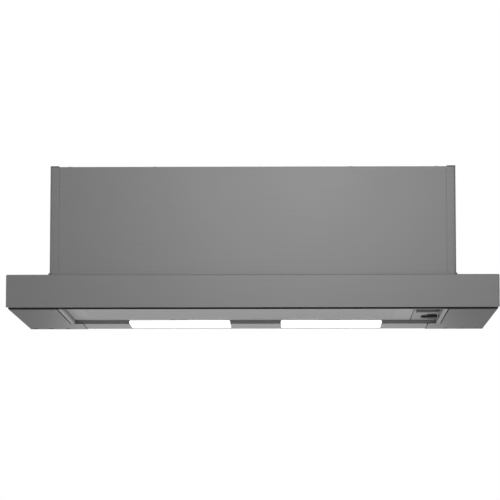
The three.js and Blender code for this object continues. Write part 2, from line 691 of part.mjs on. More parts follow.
// ---------------------------------------------------------------- controls
function addControls() {
  const rockerY = visorMiddle - ROCKER_AHEAD;
  const rockerX = (controlLeft + controlRight) / 2;
  const bezelY = visorMiddle + BEZEL_BEHIND;
  const knobX1 = controlRight - SLIDER_MARGIN;
  const knobX0 = knobX1 - SLIDER_WIDTH;
  const bezelX1 = knobX1 + SEAT_GAP;
  const bezelX0 = bezelX1 - BEZEL_WIDTH;
  const stemX = (knobX0 + knobX1) / 2;
  const stemHalf = SLIDER_STEM / 2;
  const stemY = bezelY + SLIDER_STEM + stemHalf;

  const rockerHole = rectangle(
    rockerX - ROCKER_WIDTH / 2 - ROCKER_TILT_ROOM,
    rockerY - ROCKER_TILT_ROOM,
    rockerX + ROCKER_WIDTH / 2 + ROCKER_TILT_ROOM,
    rockerY + ROCKER_DEPTH + ROCKER_TILT_ROOM,
  );
  const stemSlot = rectangle(
    stemX - SLIDER_TRAVEL - stemHalf - SLIDER_STEM_ROOM,
    stemY - stemHalf - SLIDER_STEM_ROOM,
    stemX + stemHalf + SLIDER_STEM_ROOM,
    stemY + stemHalf + SLIDER_STEM_ROOM,
  );
  const plateOutline = rectangle(controlLeft, bayFront, controlRight, visorRear);
  add("control_plate", alongZ(plateOutline, RECESS, controlTop, [rockerHole, stemSlot]), greyPlastic);

  const bezelOutline = rectangle(bezelX0, bezelY, bezelX1, bezelY + BEZEL_DEPTH);
  const bezelBottom = RECESS - SEAT_GAP - BEZEL_PROUD;
  add("slider_bezel", alongZ(bezelOutline, bezelBottom, RECESS - SEAT_GAP, [stemSlot]), blackPlastic);

  // The knob's front is a full-depth thumb tab. Its back runs under the bezel, with the stem.
  const knobY = bezelY - SLIDER_LEAD;
  const knobBottom = RECESS - SLIDER_PROUD;
  const boxBase = controlTop + SEAT_GAP;
  const tab = block([knobX0, knobY, knobBottom], [knobX1, bezelY - SEAT_GAP, RECESS - SEAT_GAP]);
  const shoe = block(
    [knobX0, bezelY - PAST_FACE, knobBottom],
    [knobX1, knobY + SLIDER_DEPTH, bezelBottom - SEAT_GAP],
  );
  const stem = block(
    [stemX - stemHalf, stemY - stemHalf, knobBottom],
    [stemX + stemHalf, stemY + stemHalf, boxBase + STEM_REACH],
  );
  add("speed_slider", join(tab, shoe, stem), blackPlastic);

  // Switch box above the plate, open where the rocker and the slider's stem reach in.
  const boxRear = visorRear - CROSSBAR_DEPTH - CONTROL_BOX_REAR;
  const box = block(
    [controlLeft + CONTROL_BOX_INSET, rockerY - CONTROL_BOX_LEAD, boxBase],
    [controlRight - CONTROL_BOX_INSET, boxRear, boxBase + CONTROL_BOX_HEIGHT],
  );
  const rockerTop = boxBase + STEM_REACH;
  const rockerStemHalf = ROCKER_WIDTH / 2 - CONTROL_BOX_INSET;
  const wellHalf = rockerStemHalf + ROCKER_TILT_ROOM;
  const rockerWell = block(
    [rockerX - wellHalf, rockerY - ROCKER_TILT_ROOM, boxBase - PAST_FACE],
    [rockerX + wellHalf, rockerY + ROCKER_DEPTH + ROCKER_TILT_ROOM, rockerTop + PAST_FACE],
  );
  const stemWell = alongZ(stemSlot, boxBase - PAST_FACE, boxBase + 2 * STEM_REACH);
  add("switch_box", cut(box, rockerWell, stemWell), blackPlastic);

  const rockerFace = block(
    [rockerX - ROCKER_WIDTH / 2, rockerY, RECESS - ROCKER_PROUD],
    [rockerX + ROCKER_WIDTH / 2, rockerY + ROCKER_DEPTH, RECESS + SEAT_GAP],
  );
  const rockerStem = block(
    [rockerX - rockerStemHalf, rockerY + ROCKER_TILT_ROOM, RECESS],
    [rockerX + rockerStemHalf, rockerY + ROCKER_DEPTH - ROCKER_TILT_ROOM, rockerTop],
  );
  add("light_rocker", join(rockerFace, rockerStem), blackPlastic);
}

// ---------------------------------------------------------------- blower
// Inner radius of the scroll at an angle from the wall side, turning up and over the wheel.
function scrollRadius(angle) {
  const share = (angle - tongueAngle) / (scrollEndAngle - tongueAngle);
  return WHEEL_RADIUS + SCROLL_TONGUE_GAP + SCROLL_GROWTH * share;
}

function spiral(from, extra) {
  return Array.from({ length: SCROLL_STEPS + 1 }, (_, i) => {
    const angle = from + ((scrollEndAngle - from) * i) / SCROLL_STEPS;
    const radius = scrollRadius(angle) + extra;
    return point(blowerY + radius * Math.cos(angle), BLOWER_AXIS_Z + radius * Math.sin(angle));
  });
}

// The scroll's outside, open at the top, from the neck's front wall round to its back wall.
function scrollOutside() {
  const neckFront = blowerY + scrollRadius(tongueAngle) * Math.cos(tongueAngle) - SCROLL_WALL;
  const outerRadius = scrollRadius(tongueAngle) + SCROLL_WALL;
  const startAngle = Math.acos((neckFront - blowerY) / outerRadius);
  const outside = spiral(startAngle, SCROLL_WALL);
  outside[0].x = neckFront;
  const neckBack = outside[outside.length - 1].x;
  return [point(neckFront, scrollTop), ...outside, point(neckBack, scrollTop)];
}

function scrollInside() {
  const inside = spiral(tongueAngle, 0);
  const neckFront = inside[0].x;
  const neckBack = inside[inside.length - 1].x;
  return [point(neckFront, scrollTop), ...inside, point(neckBack, scrollTop)];
}

// Forward-curved blade: a thin curved strip between two radii.
function blade(angle) {
  const inner = WHEEL_RADIUS - BLADE_DEPTH;
  const steps = 4;
  const side = (sign) =>
    Array.from({ length: steps + 1 }, (_, i) => {
      const share = i / steps;
      const radius = inner + BLADE_DEPTH * share;
      const turn = angle + BLADE_LEAN * share * share + (sign * BLADE_THICK) / 2 / radius;
      return point(blowerY + radius * Math.cos(turn), BLOWER_AXIS_Z + radius * Math.sin(turn));
    });
  return [...side(-1), ...side(1).reverse()];
}

function addBlower() {
  const centre = [blowerY, BLOWER_AXIS_Z];
  const outside = scrollOutside();
  const wrap = [...outside, ...scrollInside().reverse()];
  add("scroll_wrap", alongX(wrap, -scrollHalf, scrollHalf), galvanised);

  const cheekInner = scrollHalf + SEAT_GAP;
  const eye = circle(...centre, EYE_RADIUS);
  add("scroll_cheek_left", alongX(outside, -cheekOuter, -cheekInner, [eye]), galvanised);
  const bossHole = circle(...centre, MOTOR_BOSS_RADIUS);
  add("scroll_cheek_right", alongX(outside, cheekInner, cheekOuter, [bossHole]), galvanised);

  const ringFace = -cheekOuter - SEAT_GAP;
  const ringOuter = EYE_RADIUS + EYE_RING_WIDTH;
  const ring = tube("x", centre, ringOuter, EYE_RADIUS, ringFace - EYE_RING_DEPTH, ringFace);
  add("inlet_ring", ring, blackPlastic);

  const wheelHalf = WHEEL_WIDTH / 2;
  const overlap = WHEEL_PLATE / 2;
  const blades = Array.from({ length: WHEEL_BLADES }, (_, i) =>
    alongX(blade((2 * Math.PI * i) / WHEEL_BLADES), -wheelHalf + overlap, wheelHalf - overlap),
  );
  const rimInner = WHEEL_RADIUS - BLADE_DEPTH;
  const rim = tube("x", centre, WHEEL_RADIUS, rimInner, -wheelHalf, -wheelHalf + WHEEL_PLATE);
  const bore = SHAFT_RADIUS + SHAFT_GAP;
  const plate = tube("x", centre, WHEEL_RADIUS, bore, wheelHalf - WHEEL_PLATE, wheelHalf);
  const hub = tube("x", centre, HUB_RADIUS, bore, wheelHalf - HUB_LENGTH, wheelHalf - overlap);
  add("impeller", join(plate, hub, rim, ...blades), galvanised);

  const bracketFace = cheekOuter + SEAT_GAP;
  const bracketBack = bracketFace + BRACKET_SHEET;
  const bracket = tube("x", centre, BRACKET_RADIUS, BRACKET_BORE, bracketFace, bracketBack);
  add("motor_bracket", bracket, galvanised);

  const motorFace = bracketBack + SEAT_GAP;
  const motorEnd = motorFace + MOTOR_LENGTH;
  const can = tube("x", centre, MOTOR_RADIUS, bore, motorFace, motorEnd);
  const bossEnd = motorEnd + MOTOR_BOSS_LENGTH;
  const boss = tube("x", centre, MOTOR_BOSS_RADIUS, bore, motorEnd - PAST_FACE, bossEnd);
  add("motor", join(can, boss), galvanised);
  const shaftStart = wheelHalf - HUB_LENGTH;
  add("motor_shaft", tube("x", centre, SHAFT_RADIUS, 0, shaftStart, motorEnd), shaftSteel);
}

// ---------------------------------------------------------------- outlet collar and damper
function addOutlet() {
  const centre = [0, collarY];
  const flangeTop = collarBase + COLLAR_FLANGE_THICK;
  const collarTop = flangeTop + COLLAR_HEIGHT;
  const flange = tube("z", centre, COLLAR_RADIUS + COLLAR_FLANGE, collarBore, collarBase, flangeTop);
  const spigot = tube("z", centre, COLLAR_RADIUS, collarBore, flangeTop - PAST_FACE, collarTop);
  const knuckleRadius = DAMPER_PIN_RADIUS + SHAFT_GAP + KNUCKLE_WALL;
  const stopTop = damperZ - FLAP_THICK / 2 - SEAT_GAP;
  const stopBase = stopTop - FLAP_THICK;
  const stopOuter = COLLAR_RADIUS - COLLAR_WALL / 2;
  const stop = tube("z", centre, stopOuter, collarBore - STOP_RIM, stopBase, stopTop);
  const knuckleRoom = block(
    [-collarBore, collarY - 2 * knuckleRadius, stopBase - PAST_FACE],
    [collarBore, collarY + 2 * knuckleRadius, stopTop + PAST_FACE],
  );
  add("outlet_collar", join(flange, spigot, cut(stop, knuckleRoom)), blackPlastic);

  const pinReach = collarBore - SEAT_GAP;
  const pinCentre = [collarY, damperZ];
  add("damper_pin", tube("x", pinCentre, DAMPER_PIN_RADIUS, 0, -pinReach, pinReach), shaftSteel);

  // Half discs on a shared pin. Their knuckles stand side by side along it.
  const flapRadius = collarBore - FLAP_EDGE_GAP;
  const flapStart = knuckleRadius + SEAT_GAP;
  const startAngle = Math.asin(flapStart / flapRadius);
  const halfDisc = arc(0, 0, flapRadius, startAngle, Math.PI - startAngle, SEGMENTS / 2);
  const pitch = KNUCKLE_LENGTH + KNUCKLE_GAP;
  const boreRadius = DAMPER_PIN_RADIUS + SHAFT_GAP;
  const webInner = boreRadius + KNUCKLE_WALL / 4;
  const webOuter = flapStart + PAST_FACE;
  const flap = (sign, firstKnuckle) => {
    const [webFront, webBack] = sign > 0 ? [webInner, webOuter] : [-webOuter, -webInner];
    const outline = halfDisc.map(({ x, y }) => point(x, collarY + sign * y));
    if (sign < 0) outline.reverse();
    const leaf = alongZ(outline, damperZ - FLAP_THICK / 2, damperZ + FLAP_THICK / 2);
    const knuckles = [-1, 1].flatMap((side) => {
      const middle = side * (KNUCKLE_INNER_X + firstKnuckle * pitch);
      const x0 = middle - KNUCKLE_LENGTH / 2;
      const x1 = middle + KNUCKLE_LENGTH / 2;
      const web = block(
        [x0, collarY + webFront, damperZ - FLAP_THICK / 2],
        [x1, collarY + webBack, damperZ + FLAP_THICK / 2],
      );
      return [tube("x", pinCentre, knuckleRadius, boreRadius, x0, x1), web];
    });
    return join(leaf, ...knuckles);
  };
  add("damper_flap_rear", flap(1, 0), galvanised);
  add("damper_flap_front", flap(-1, 1), galvanised);
}

// ---------------------------------------------------------------- electrical pieces
function addElectrics() {
  const boxRear = rearPanelFront - SEAT_GAP;
  const x0 = TERMINAL_X - TERMINAL_WIDTH / 2;
  const x1 = TERMINAL_X + TERMINAL_WIDTH / 2;
  const z0 = TERMINAL_Z - TERMINAL_HEIGHT / 2;
  const z1 = TERMINAL_Z + TERMINAL_HEIGHT / 2;
  const boxFront = boxRear - TERMINAL_DEPTH;
  const shell = block([x0, boxFront, z0], [x1, boxRear, z1]);
  const hollow = block(
    [x0 + TERMINAL_WALL, boxFront - PAST_FACE, z0 + TERMINAL_WALL],
    [x1 - TERMINAL_WALL, boxRear - TERMINAL_WALL, z1 - TERMINAL_WALL],
  );
  add("terminal_box", cut(shell, hollow), blackPlastic);
  const coverBack = boxFront - SEAT_GAP;
  add("terminal_cover", block([x0, coverBack - COVER_THICK, z0], [x1, coverBack, z1]), blackPlastic);

  const glandCentre = [TERMINAL_X, glandY];
  const nutTop = BODY_TOP + SEAT_GAP + GLAND_LENGTH / 2;
  const nut = tube("z", glandCentre, GLAND_NUT, GLAND_BORE, BODY_TOP + SEAT_GAP, nutTop);
  const stemBase = nutTop - GLAND_LENGTH;
  const stem = tube("z", glandCentre, GLAND_RADIUS, GLAND_BORE, stemBase, nutTop - PAST_FACE);
  add("cable_gland", join(nut, stem), blackPlastic);

  const deckTop = deckZ + DECK_SHEET + SEAT_GAP;
  const capacitorCentre = [rear - CAPACITOR_FROM_WALL, deckTop + CAPACITOR_RADIUS];
  const capacitorX0 = CAPACITOR_X - CAPACITOR_LENGTH / 2;
  const capacitorX1 = CAPACITOR_X + CAPACITOR_LENGTH / 2;
  add("run_capacitor", tube("x", capacitorCentre, CAPACITOR_RADIUS, 0, capacitorX0, capacitorX1), aluminium);

  add(
    "led_driver",
    block(
      [DRIVER_X - DRIVER_WIDTH / 2, driverY - DRIVER_DEPTH / 2, deckTop],
      [DRIVER_X + DRIVER_WIDTH / 2, driverY + DRIVER_DEPTH / 2, deckTop + DRIVER_HEIGHT],
    ),
    greyPlastic,
  );

  // The reed switch behind the lamp panel and the magnet on the visor start the blower.
  const sensorZ = BAR_HEIGHT + 2 * SEAT_GAP + CROSSBAR_WALL;
  const sensorFront = lampPanelFront + SHEET + SEAT_GAP;
  add(
    "reed_switch",
    block(
      [-SENSOR_WIDTH / 2, sensorFront, sensorZ],
      [SENSOR_WIDTH / 2, sensorFront + SENSOR_DEPTH, sensorZ + SENSOR_HEIGHT],
    ),
    blackPlastic,
  );
  const magnetBack = visorRear - CROSSBAR_WALL - SEAT_GAP;
  add(
    "visor_magnet",
    block(
      [-MAGNET_WIDTH / 2, magnetBack - MAGNET_THICK, sensorZ],
      [MAGNET_WIDTH / 2, magnetBack, sensorZ + SENSOR_HEIGHT],
    ),
    shaftSteel,
  );
}

addBody();
addWings();
addDeck();
addLamps();
addFacia();
addVisorFrame();
addRunners();
addVisorFilter();
addControls();
addBlower();
addOutlet();
addElectrics();

export default hood;
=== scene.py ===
"""Looks of a pull-out cooker hood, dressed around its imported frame.

Lengths are in metres unless a name ends in _mm. +X is the hood's right as the cook sees it,
+Y points to the wall and +Z up, with the origin in the middle of the underside.
"""

import json
import logging
import math
from dataclasses import dataclass, field
from enum import Enum
from typing import Any, Iterable, Iterator, Optional, Sequence

import bmesh
import bpy
from mathutils import Matrix, Vector

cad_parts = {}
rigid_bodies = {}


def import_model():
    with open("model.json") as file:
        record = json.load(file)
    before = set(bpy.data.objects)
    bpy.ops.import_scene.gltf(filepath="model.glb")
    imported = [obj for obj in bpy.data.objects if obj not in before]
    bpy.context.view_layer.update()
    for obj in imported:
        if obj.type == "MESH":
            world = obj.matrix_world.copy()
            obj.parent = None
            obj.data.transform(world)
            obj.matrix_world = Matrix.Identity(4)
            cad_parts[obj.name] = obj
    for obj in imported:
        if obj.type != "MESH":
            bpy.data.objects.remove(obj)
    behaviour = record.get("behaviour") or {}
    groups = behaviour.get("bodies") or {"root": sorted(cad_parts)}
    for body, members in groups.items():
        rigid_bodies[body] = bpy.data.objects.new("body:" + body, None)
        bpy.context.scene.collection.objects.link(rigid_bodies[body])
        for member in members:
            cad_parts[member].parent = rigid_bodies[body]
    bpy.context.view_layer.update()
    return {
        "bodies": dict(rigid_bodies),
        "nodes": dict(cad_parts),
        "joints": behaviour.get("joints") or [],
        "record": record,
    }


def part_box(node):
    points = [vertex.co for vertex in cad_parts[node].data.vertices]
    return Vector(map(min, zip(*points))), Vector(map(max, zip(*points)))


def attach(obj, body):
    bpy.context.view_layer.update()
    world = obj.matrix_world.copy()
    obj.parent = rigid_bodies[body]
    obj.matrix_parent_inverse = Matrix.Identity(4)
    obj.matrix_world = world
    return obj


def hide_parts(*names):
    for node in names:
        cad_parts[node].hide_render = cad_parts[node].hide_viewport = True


# Short names of Blender's types.
Tree = bpy.types.NodeTree
Node = bpy.types.Node
Socket = bpy.types.NodeSocket
Piece = bpy.types.Object
Mesh = bmesh.types.BMesh

MM = 0.001
PHOTO_PIXELS = 500  # the photograph's width
BEND_STEPS = 5  # flats round a sheet's bend
SLOT_STEPS = 6  # flats round a slot's end
SHARP_DEG = 35.0  # edges that turn by more than this are shaded sharp
ROUND_DEG = 30.0  # edges that turn by more than this are rounded
MERGE = 1e-6  # corners closer than this are one
FINE_MERGE = 1e-7  # the same on a turned profile
FLAT_DEG = 0.5  # faces that turn by less than this are one
PAST = 1 * MM  # how far a cutter runs past the face that it opens
GRIP_ROOM = 0.3 * MM  # room over the grip where a sheet is cut away for it
WAVE_PERIOD = 2 * math.pi / 20  # length of one band of the Wave texture at scale 1
SIDES = ("left", "right")
BOTH = (-1, 1)
log = logging.getLogger("hood")


# ---------------------------------------------------------------- colour and nodes
def linear_from_hex(code: str) -> tuple[float, float, float, float]:
    """Turn an sRGB hex colour into linear light.

    Args:
        code: Six hex digits, such as "8A8A8A".

    Returns:
        Red, green and blue in linear light, and an alpha of 1.
    """
    def to_linear(value: float) -> float:
        """Linear light of one sRGB channel."""
        return value / 12.92 if value <= 0.04045 else ((value + 0.055) / 1.055) ** 2.4

    red, green, blue = (to_linear(int(code[i:i + 2], 16) / 255) for i in (0, 2, 4))
    return red, green, blue, 1.0


def add_node(tree: Tree, kind: str, settings: Optional[dict[Any, Any]] = None) -> Node:
    """Add one node with its settings and links.

    Args:
        tree: The shader, world or geometry tree that gets the node.
        kind: The node's type name.
        settings: Values by attribute, input name or input number. A socket is linked to the input,
            and so is the first output of a node.

    Returns:
        The new node.
    """
    node = tree.nodes.new(kind)
    for key, value in (settings or {}).items():
        if isinstance(value, Node):
            value = value.outputs[0]
        if isinstance(value, Socket):
            tree.links.new(value, node.inputs[key])
        elif isinstance(key, str) and key not in node.inputs:
            setattr(node, key, value)
        else:
            node.inputs[key].default_value = value
    return node


# ---------------------------------------------------------------- finishes
class Grain(Enum):
    """Direction that a brushed or drawn surface's lines run in."""

    ACROSS = "x"
    DEEP = "y"


@dataclass(frozen=True)
class Finish:
    """A material by its common name, with the values that every finish has.

    The colour swings by the share contrast each way, the roughness by swing, and the relief is
    depth_mm deep. The finish's second pattern counts for second_share of the whole.
    """

    name: str
    colour: str
    roughness: float
    slot: str
    metallic: float = 0.0
    edge_tint: str = "FFFFFF"
    sheen_level: float = 0.5
    contrast: float = 0.06
    swing: float = 0.05
    depth_mm: float = 0.02
    second_share: float = 0.35
    relief_strength: float = 0.6

    def build(self) -> bpy.types.Material:
        """Make the material, or find it where it is already made.

        Returns:
            The Blender material.
        """
        known = bpy.data.materials.get(self.name)
        if known:
            return known
        material = bpy.data.materials.new(self.name)
        material.use_nodes = True
        tree = material.node_tree
        tree.nodes.clear()
        shader = add_node(tree, "ShaderNodeBsdfPrincipled", {
            "Base Color": linear_from_hex(self.colour),
            "Metallic": self.metallic,
            "Roughness": self.roughness,
            "Specular Tint": linear_from_hex(self.edge_tint),
            "Specular IOR Level": self.sheen_level,
        })
        add_node(tree, "ShaderNodeOutputMaterial", {"Surface": shader})
        self.pattern(tree, shader, add_node(tree, "ShaderNodeTexCoord").outputs["Object"])
        return material

    def pattern(self, tree: Tree, shader: Node, place: Socket) -> None:
        """Link the surface's own pattern to the shader. The plain finish has none.

        Args:
            tree: The material's tree.
            shader: Its Principled node.
            place: The Object coordinates.
        """

    def vary(self, tree: Tree, shader: Node, first: Node, second: Node) -> None:
        """Let two patterns, laid over each other, drive the colour, the roughness and the relief.

        Args:
            tree: The material's tree.
            shader: Its Principled node.
            first: The main pattern, from 0 to 1.
            second: The other one.
        """
        height = add_node(tree, "ShaderNodeMix", {
            "data_type": "FLOAT", 0: self.second_share, 2: first, 3: second,
        })
        shade = add_node(tree, "ShaderNodeMapRange", {
            "Value": height, "To Min": 1 - self.contrast, "To Max": 1 + self.contrast,
        })
        tint = add_node(tree, "ShaderNodeVectorMath", {
            "operation": "SCALE", 0: linear_from_hex(self.colour)[:3], "Scale": shade,
        })
        rough = add_node(tree, "ShaderNodeMapRange", {
            "Value": height, "To Min": self.roughness - self.swing, "To Max": self.roughness + self.swing,
        })
        relief = add_node(tree, "ShaderNodeBump", {
            "Strength": self.relief_strength, "Distance": self.depth_mm * MM, "Height": height,
        })
        for name, source in (("Base Color", tint), ("Roughness", rough), ("Normal", relief)):
            tree.links.new(source.outputs[0], shader.inputs[name])


@dataclass(frozen=True)
class BrushedMetal(Finish):
    """Sheet brushed by a belt: long fine scratches in one direction, over a slow cloudiness.

    Real scratches are finer than a tenth of a millimetre. They are drawn as coarse as they need to show.
    """

    metallic: float = 1.0
    contrast: float = 0.12
    swing: float = 0.06
    second_share: float = 0.2
    grain: Grain = Grain.ACROSS
    scratch_mm: float = 0.9
    scratch_length_mm: float = 60.0
    cloud_mm: float = 90.0

    def pattern(self, tree: Tree, shader: Node, place: Socket) -> None:
        """Stretch one noise along the grain and lay a slow one over it.

        Args:
            tree: The material's tree.
            shader: Its Principled node.
            place: The Object coordinates.
        """
        across, along = 1 / (self.scratch_mm * MM), 1 / (self.scratch_length_mm * MM)
        scale = [along if axis == self.grain.value else across for axis in "xyz"]
        stretched = add_node(tree, "ShaderNodeMapping", {"Vector": place, "Scale": scale})
        scratches = add_node(tree, "ShaderNodeTexNoise", {
            "Vector": stretched, "Scale": 1.0, "Detail": 4.0, "Roughness": 0.65,
        })
        clouds = add_node(tree, "ShaderNodeTexNoise", {
            "Vector": place, "Scale": 1 / (self.cloud_mm * MM), "Detail": 1.0,
        })
        self.vary(tree, shader, scratches, clouds)


@dataclass(frozen=True)
class ZincSheet(Finish):
    """Zinc-coated sheet: faint crystal spangles, each a little lighter or darker.

    The fine noise over them stands for a roughness that is really too fine to show.
    """

    metallic: float = 1.0
    contrast: float = 0.09
    swing: float = 0.07
    depth_mm: float = 0.004
    second_share: float = 0.4
    spangle_mm: float = 7.0
    fine_mm: float = 1.1111

    def pattern(self, tree: Tree, shader: Node, place: Socket) -> None:
        """Give each Voronoi cell its own shade, broken up by fine noise.

        Args:
            tree: The material's tree.
            shader: Its Principled node.
            place: The Object coordinates.
        """
        spangles = add_node(tree, "ShaderNodeTexVoronoi", {
            "Vector": place, "Scale": 1 / (self.spangle_mm * MM),
        })
        shade = add_node(tree, "ShaderNodeRGBToBW", {"Color": spangles.outputs["Color"]})
        fine = add_node(tree, "ShaderNodeTexNoise", {
            "Vector": place, "Scale": 1 / (self.fine_mm * MM), "Detail": 2.0,
        })
        self.vary(tree, shader, shade, fine)


@dataclass(frozen=True)
class GrainedSurface(Finish):
    """Moulded, cast or satin surface with an even fine grain.

    The real grain is finer, and is drawn as coarse as it needs to show.
    """

    grain_mm: float = 0.35
    mark_mm: float = 28.571

    def pattern(self, tree: Tree, shader: Node, place: Socket) -> None:
        """Use one fine noise for the grain, with a slow one under it for handling marks.

        Args:
            tree: The material's tree.
            shader: Its Principled node.
            place: The Object coordinates.
        """
        grain = add_node(tree, "ShaderNodeTexNoise", {
            "Vector": place, "Scale": 1 / (self.grain_mm * MM), "Detail": 2.0,
        })
        marks = add_node(tree, "ShaderNodeTexNoise", {
            "Vector": place, "Scale": 1 / (self.mark_mm * MM), "Detail": 3.0,
        })
        self.vary(tree, shader, grain, marks)


@dataclass(frozen=True)
class LitDiffuser(Finish):
    """Opal polycarbonate, lit from behind by a row of diodes."""

    glow: float = 1.6
    glow_colour: str = "FFFEFA"
    dimmest: float = 0.92
    swell_mm: float = 163.36

    def pattern(self, tree: Tree, shader: Node, place: Socket) -> None:
        """Let the light swell softly along the row, from one bright place to the next.

        Args:
            tree: The material's tree.
            shader: Its Principled node.
            place: The Object coordinates.
        """
        wave = add_node(tree, "ShaderNodeTexWave", {
            "wave_type": "BANDS",
            "bands_direction": "X",
            "Vector": place,
            "Scale": WAVE_PERIOD / (self.swell_mm * MM),
        })
        level = add_node(tree, "ShaderNodeMapRange", {
            "Value": wave.outputs["Fac"], "To Min": self.dimmest, "To Max": 1.0,
        })
        colour = add_node(tree, "ShaderNodeVectorMath", {
            "operation": "SCALE", 0: linear_from_hex(self.glow_colour)[:3], "Scale": level,
        })
        tree.links.new(colour.outputs[0], shader.inputs["Emission Color"])
        shader.inputs["Emission Strength"].default_value = self.glow


# Chromium steel, belt-brushed: grey, with fine level scratches that spread every reflection.
STAINLESS = BrushedMetal("brushed stainless steel", "666666", 0.34, "brushed_steel", edge_tint="B0B0B0")
# The same sheet with its grain turned, where a piece is folded from a strip cut the other way.
STAINLESS_DEEP = BrushedMetal(
    "brushed stainless steel, grain to the wall", "646464", 0.36, "brushed_steel",
    edge_tint="B0B0B0", grain=Grain.DEEP,
)
# The same sheet under the wings, a darker copy that paints the shade of the downward faces.
STAINLESS_SHADED_UNDER = BrushedMetal(
    "brushed stainless steel, underside", "606060", 0.34, "brushed_steel", edge_tint="B0B0B0"
)
# The same sheet with a satin face, made paler than the belt-brushed one as painted light from the lamps
# beside it.
SATIN_LAMP_LIT = BrushedMetal(
    "satin stainless steel, paled as painted lamp light", "707070", 0.4, "brushed_steel", edge_tint="D0D0D0", contrast=0.05
)
# Steel of the flange inside the visor's bay, made dull and dark as painted shade of the recess.
BAY_SHADE_STEEL = BrushedMetal(
    "bay steel, dulled as painted shade", "727272", 0.5, "brushed_steel", edge_tint="707070", contrast=0.05
)
# Hot-dip zinc on steel: pale bluish grey, dull, with faint spangles.
ZINC = ZincSheet("zinc-coated steel sheet", "9C9FA1", 0.48, "galvanised_steel")
# Anodised aluminium extrusion: paler than the steel, with drawing lines along its length.
ANODISED = BrushedMetal(
    "anodised aluminium", "A4A4A4", 0.42, "aluminium", edge_tint="C8C8C8",
    grain=Grain.DEEP, scratch_mm=1.2, contrast=0.05,
)
# Layered expanded aluminium: bright on each strand; the dark between them is the painted shade of the backing
# under it.
EXPANDED = GrainedSurface(
    "expanded aluminium mesh", "BABABA", 0.4, "aluminium", metallic=1.0, grain_mm=0.8, depth_mm=0.03
)
# Aluminium, etched and anodised: an even matte grey.
MATTE_ANODISED = GrainedSurface(
    "matte anodised aluminium", "8C8C8C", 0.72, "aluminium", metallic=0.55, grain_mm=0.4, contrast=0.04
)
# The mesh layers under the outer one, seen only between its strands: a solid backing, darker than the
# aluminium as painted shade between the layers.
MESH_PACK_SHADED = GrainedSurface(
    "inner mesh layers, darkened as painted shade", "8A8A8A", 0.6, "aluminium", metallic=1.0, grain_mm=1.2, contrast=0.2
)
# ABS, spark-eroded mould: black with a fine matte grain.
BLACK_ABS = GrainedSurface("black ABS moulding", "1C1C1D", 0.6, "black_plastic", sheen_level=0.15)
# ABS, spark-eroded mould: charcoal, a shade lighter than the black parts.
CHARCOAL_ABS = GrainedSurface("charcoal ABS moulding", "4C4C4D", 0.6, "black_plastic", sheen_level=0.3)
# ABS, satin: the grey of the metal beside it.
GREY_ABS = GrainedSurface("grey ABS moulding", "757676", 0.6, "grey_plastic", sheen_level=0.35)
# Opal polycarbonate: milky, lit from behind.
OPAL = LitDiffuser("opal polycarbonate", "F4F4F2", 0.3, "lamp_diffuser")
# Ground and zinc-plated steel of shafts and screws: bright and even.
BRIGHT_STEEL = GrainedSurface(
    "bright zinc-plated steel", "B4B6B8", 0.28, "shaft_steel", metallic=1.0, grain_mm=0.5, depth_mm=0.008
)


# ---------------------------------------------------------------- meshes
def object_from(name: str, bm: Mesh, sharp_deg: float = SHARP_DEG) -> Piece:
    """Make a scene object from a bmesh, smooth except over its sharp edges.

    Args:
        name: The piece's name.
        bm: Its mesh, which is freed.
        sharp_deg: Angle past which an edge is shaded sharp.

    Returns:
        The linked object, at the origin.
    """
    mesh = bpy.data.meshes.new(name)
    bm.to_mesh(mesh)
    bm.free()
    piece = bpy.data.objects.new(name, mesh)
    bpy.context.scene.collection.objects.link(piece)
    shade(piece, sharp_deg)
    return piece


def shade(piece: Piece, sharp_deg: float = SHARP_DEG) -> None:
    """Shade a mesh smooth, except over its sharp edges, and keep its flats flat.

    Args:
        piece: The object.
        sharp_deg: Angle past which an edge is shaded sharp.
    """
    for face in piece.data.polygons:
        face.use_smooth = True
    piece.data.set_sharp_from_angle(angle=math.radians(sharp_deg))
    piece.modifiers.new("even", "WEIGHTED_NORMAL").keep_sharp = True
    apply_modifiers(piece)


def apply_modifiers(piece: Piece) -> None:
    """Turn a piece's modifiers into plain mesh and take them off.

    Args:
        piece: The object.
    """
    graph = bpy.context.evaluated_depsgraph_get()
    baked = bpy.data.meshes.new_from_object(piece.evaluated_get(graph), depsgraph=graph)
    piece.modifiers.clear()
    piece.data = baked


def round_edges(piece: Piece, width_mm: float, steps: int = 2) -> None:
    """Round every sharp edge of a piece by a small radius, as a real edge is.

    Args:
        piece: The object.
        width_mm: The radius.
        steps: Flats across each rounded edge.
    """
    bevel = piece.modifiers.new("edge", "BEVEL")
    bevel.width, bevel.segments = width_mm * MM, steps
    bevel.limit_method, bevel.angle_limit = "ANGLE", math.radians(ROUND_DEG)
    bevel.use_clamp_overlap = True
    apply_modifiers(piece)
    shade(piece)


def block(low: Sequence[float], high: Sequence[float]) -> Mesh:
    """Make a block.

    Args:
        low: Its lowest corner, in metres.
        high: Its highest corner.

    Returns:
        The closed mesh.
    """
    bm = bmesh.new()
    bmesh.ops.create_cube(bm, size=1.0)
    size = Matrix.Diagonal((Vector(high) - Vector(low)).to_4d())
    middle = Matrix.Translation((Vector(high) + Vector(low)) / 2)
    bmesh.ops.transform(bm, matrix=middle @ size, verts=bm.verts)
    return bm


def merged(mesh: bpy.types.Mesh) -> Mesh:
    """Join a copy of a CAD node's loose triangles at their corners.

    Args:
        mesh: The node's mesh, which is left alone.

    Returns:
        The closed mesh.
    """
    bm = bmesh.new()
    bm.from_mesh(mesh)
    bmesh.ops.remove_doubles(bm, verts=bm.verts, dist=MERGE)
    return bm


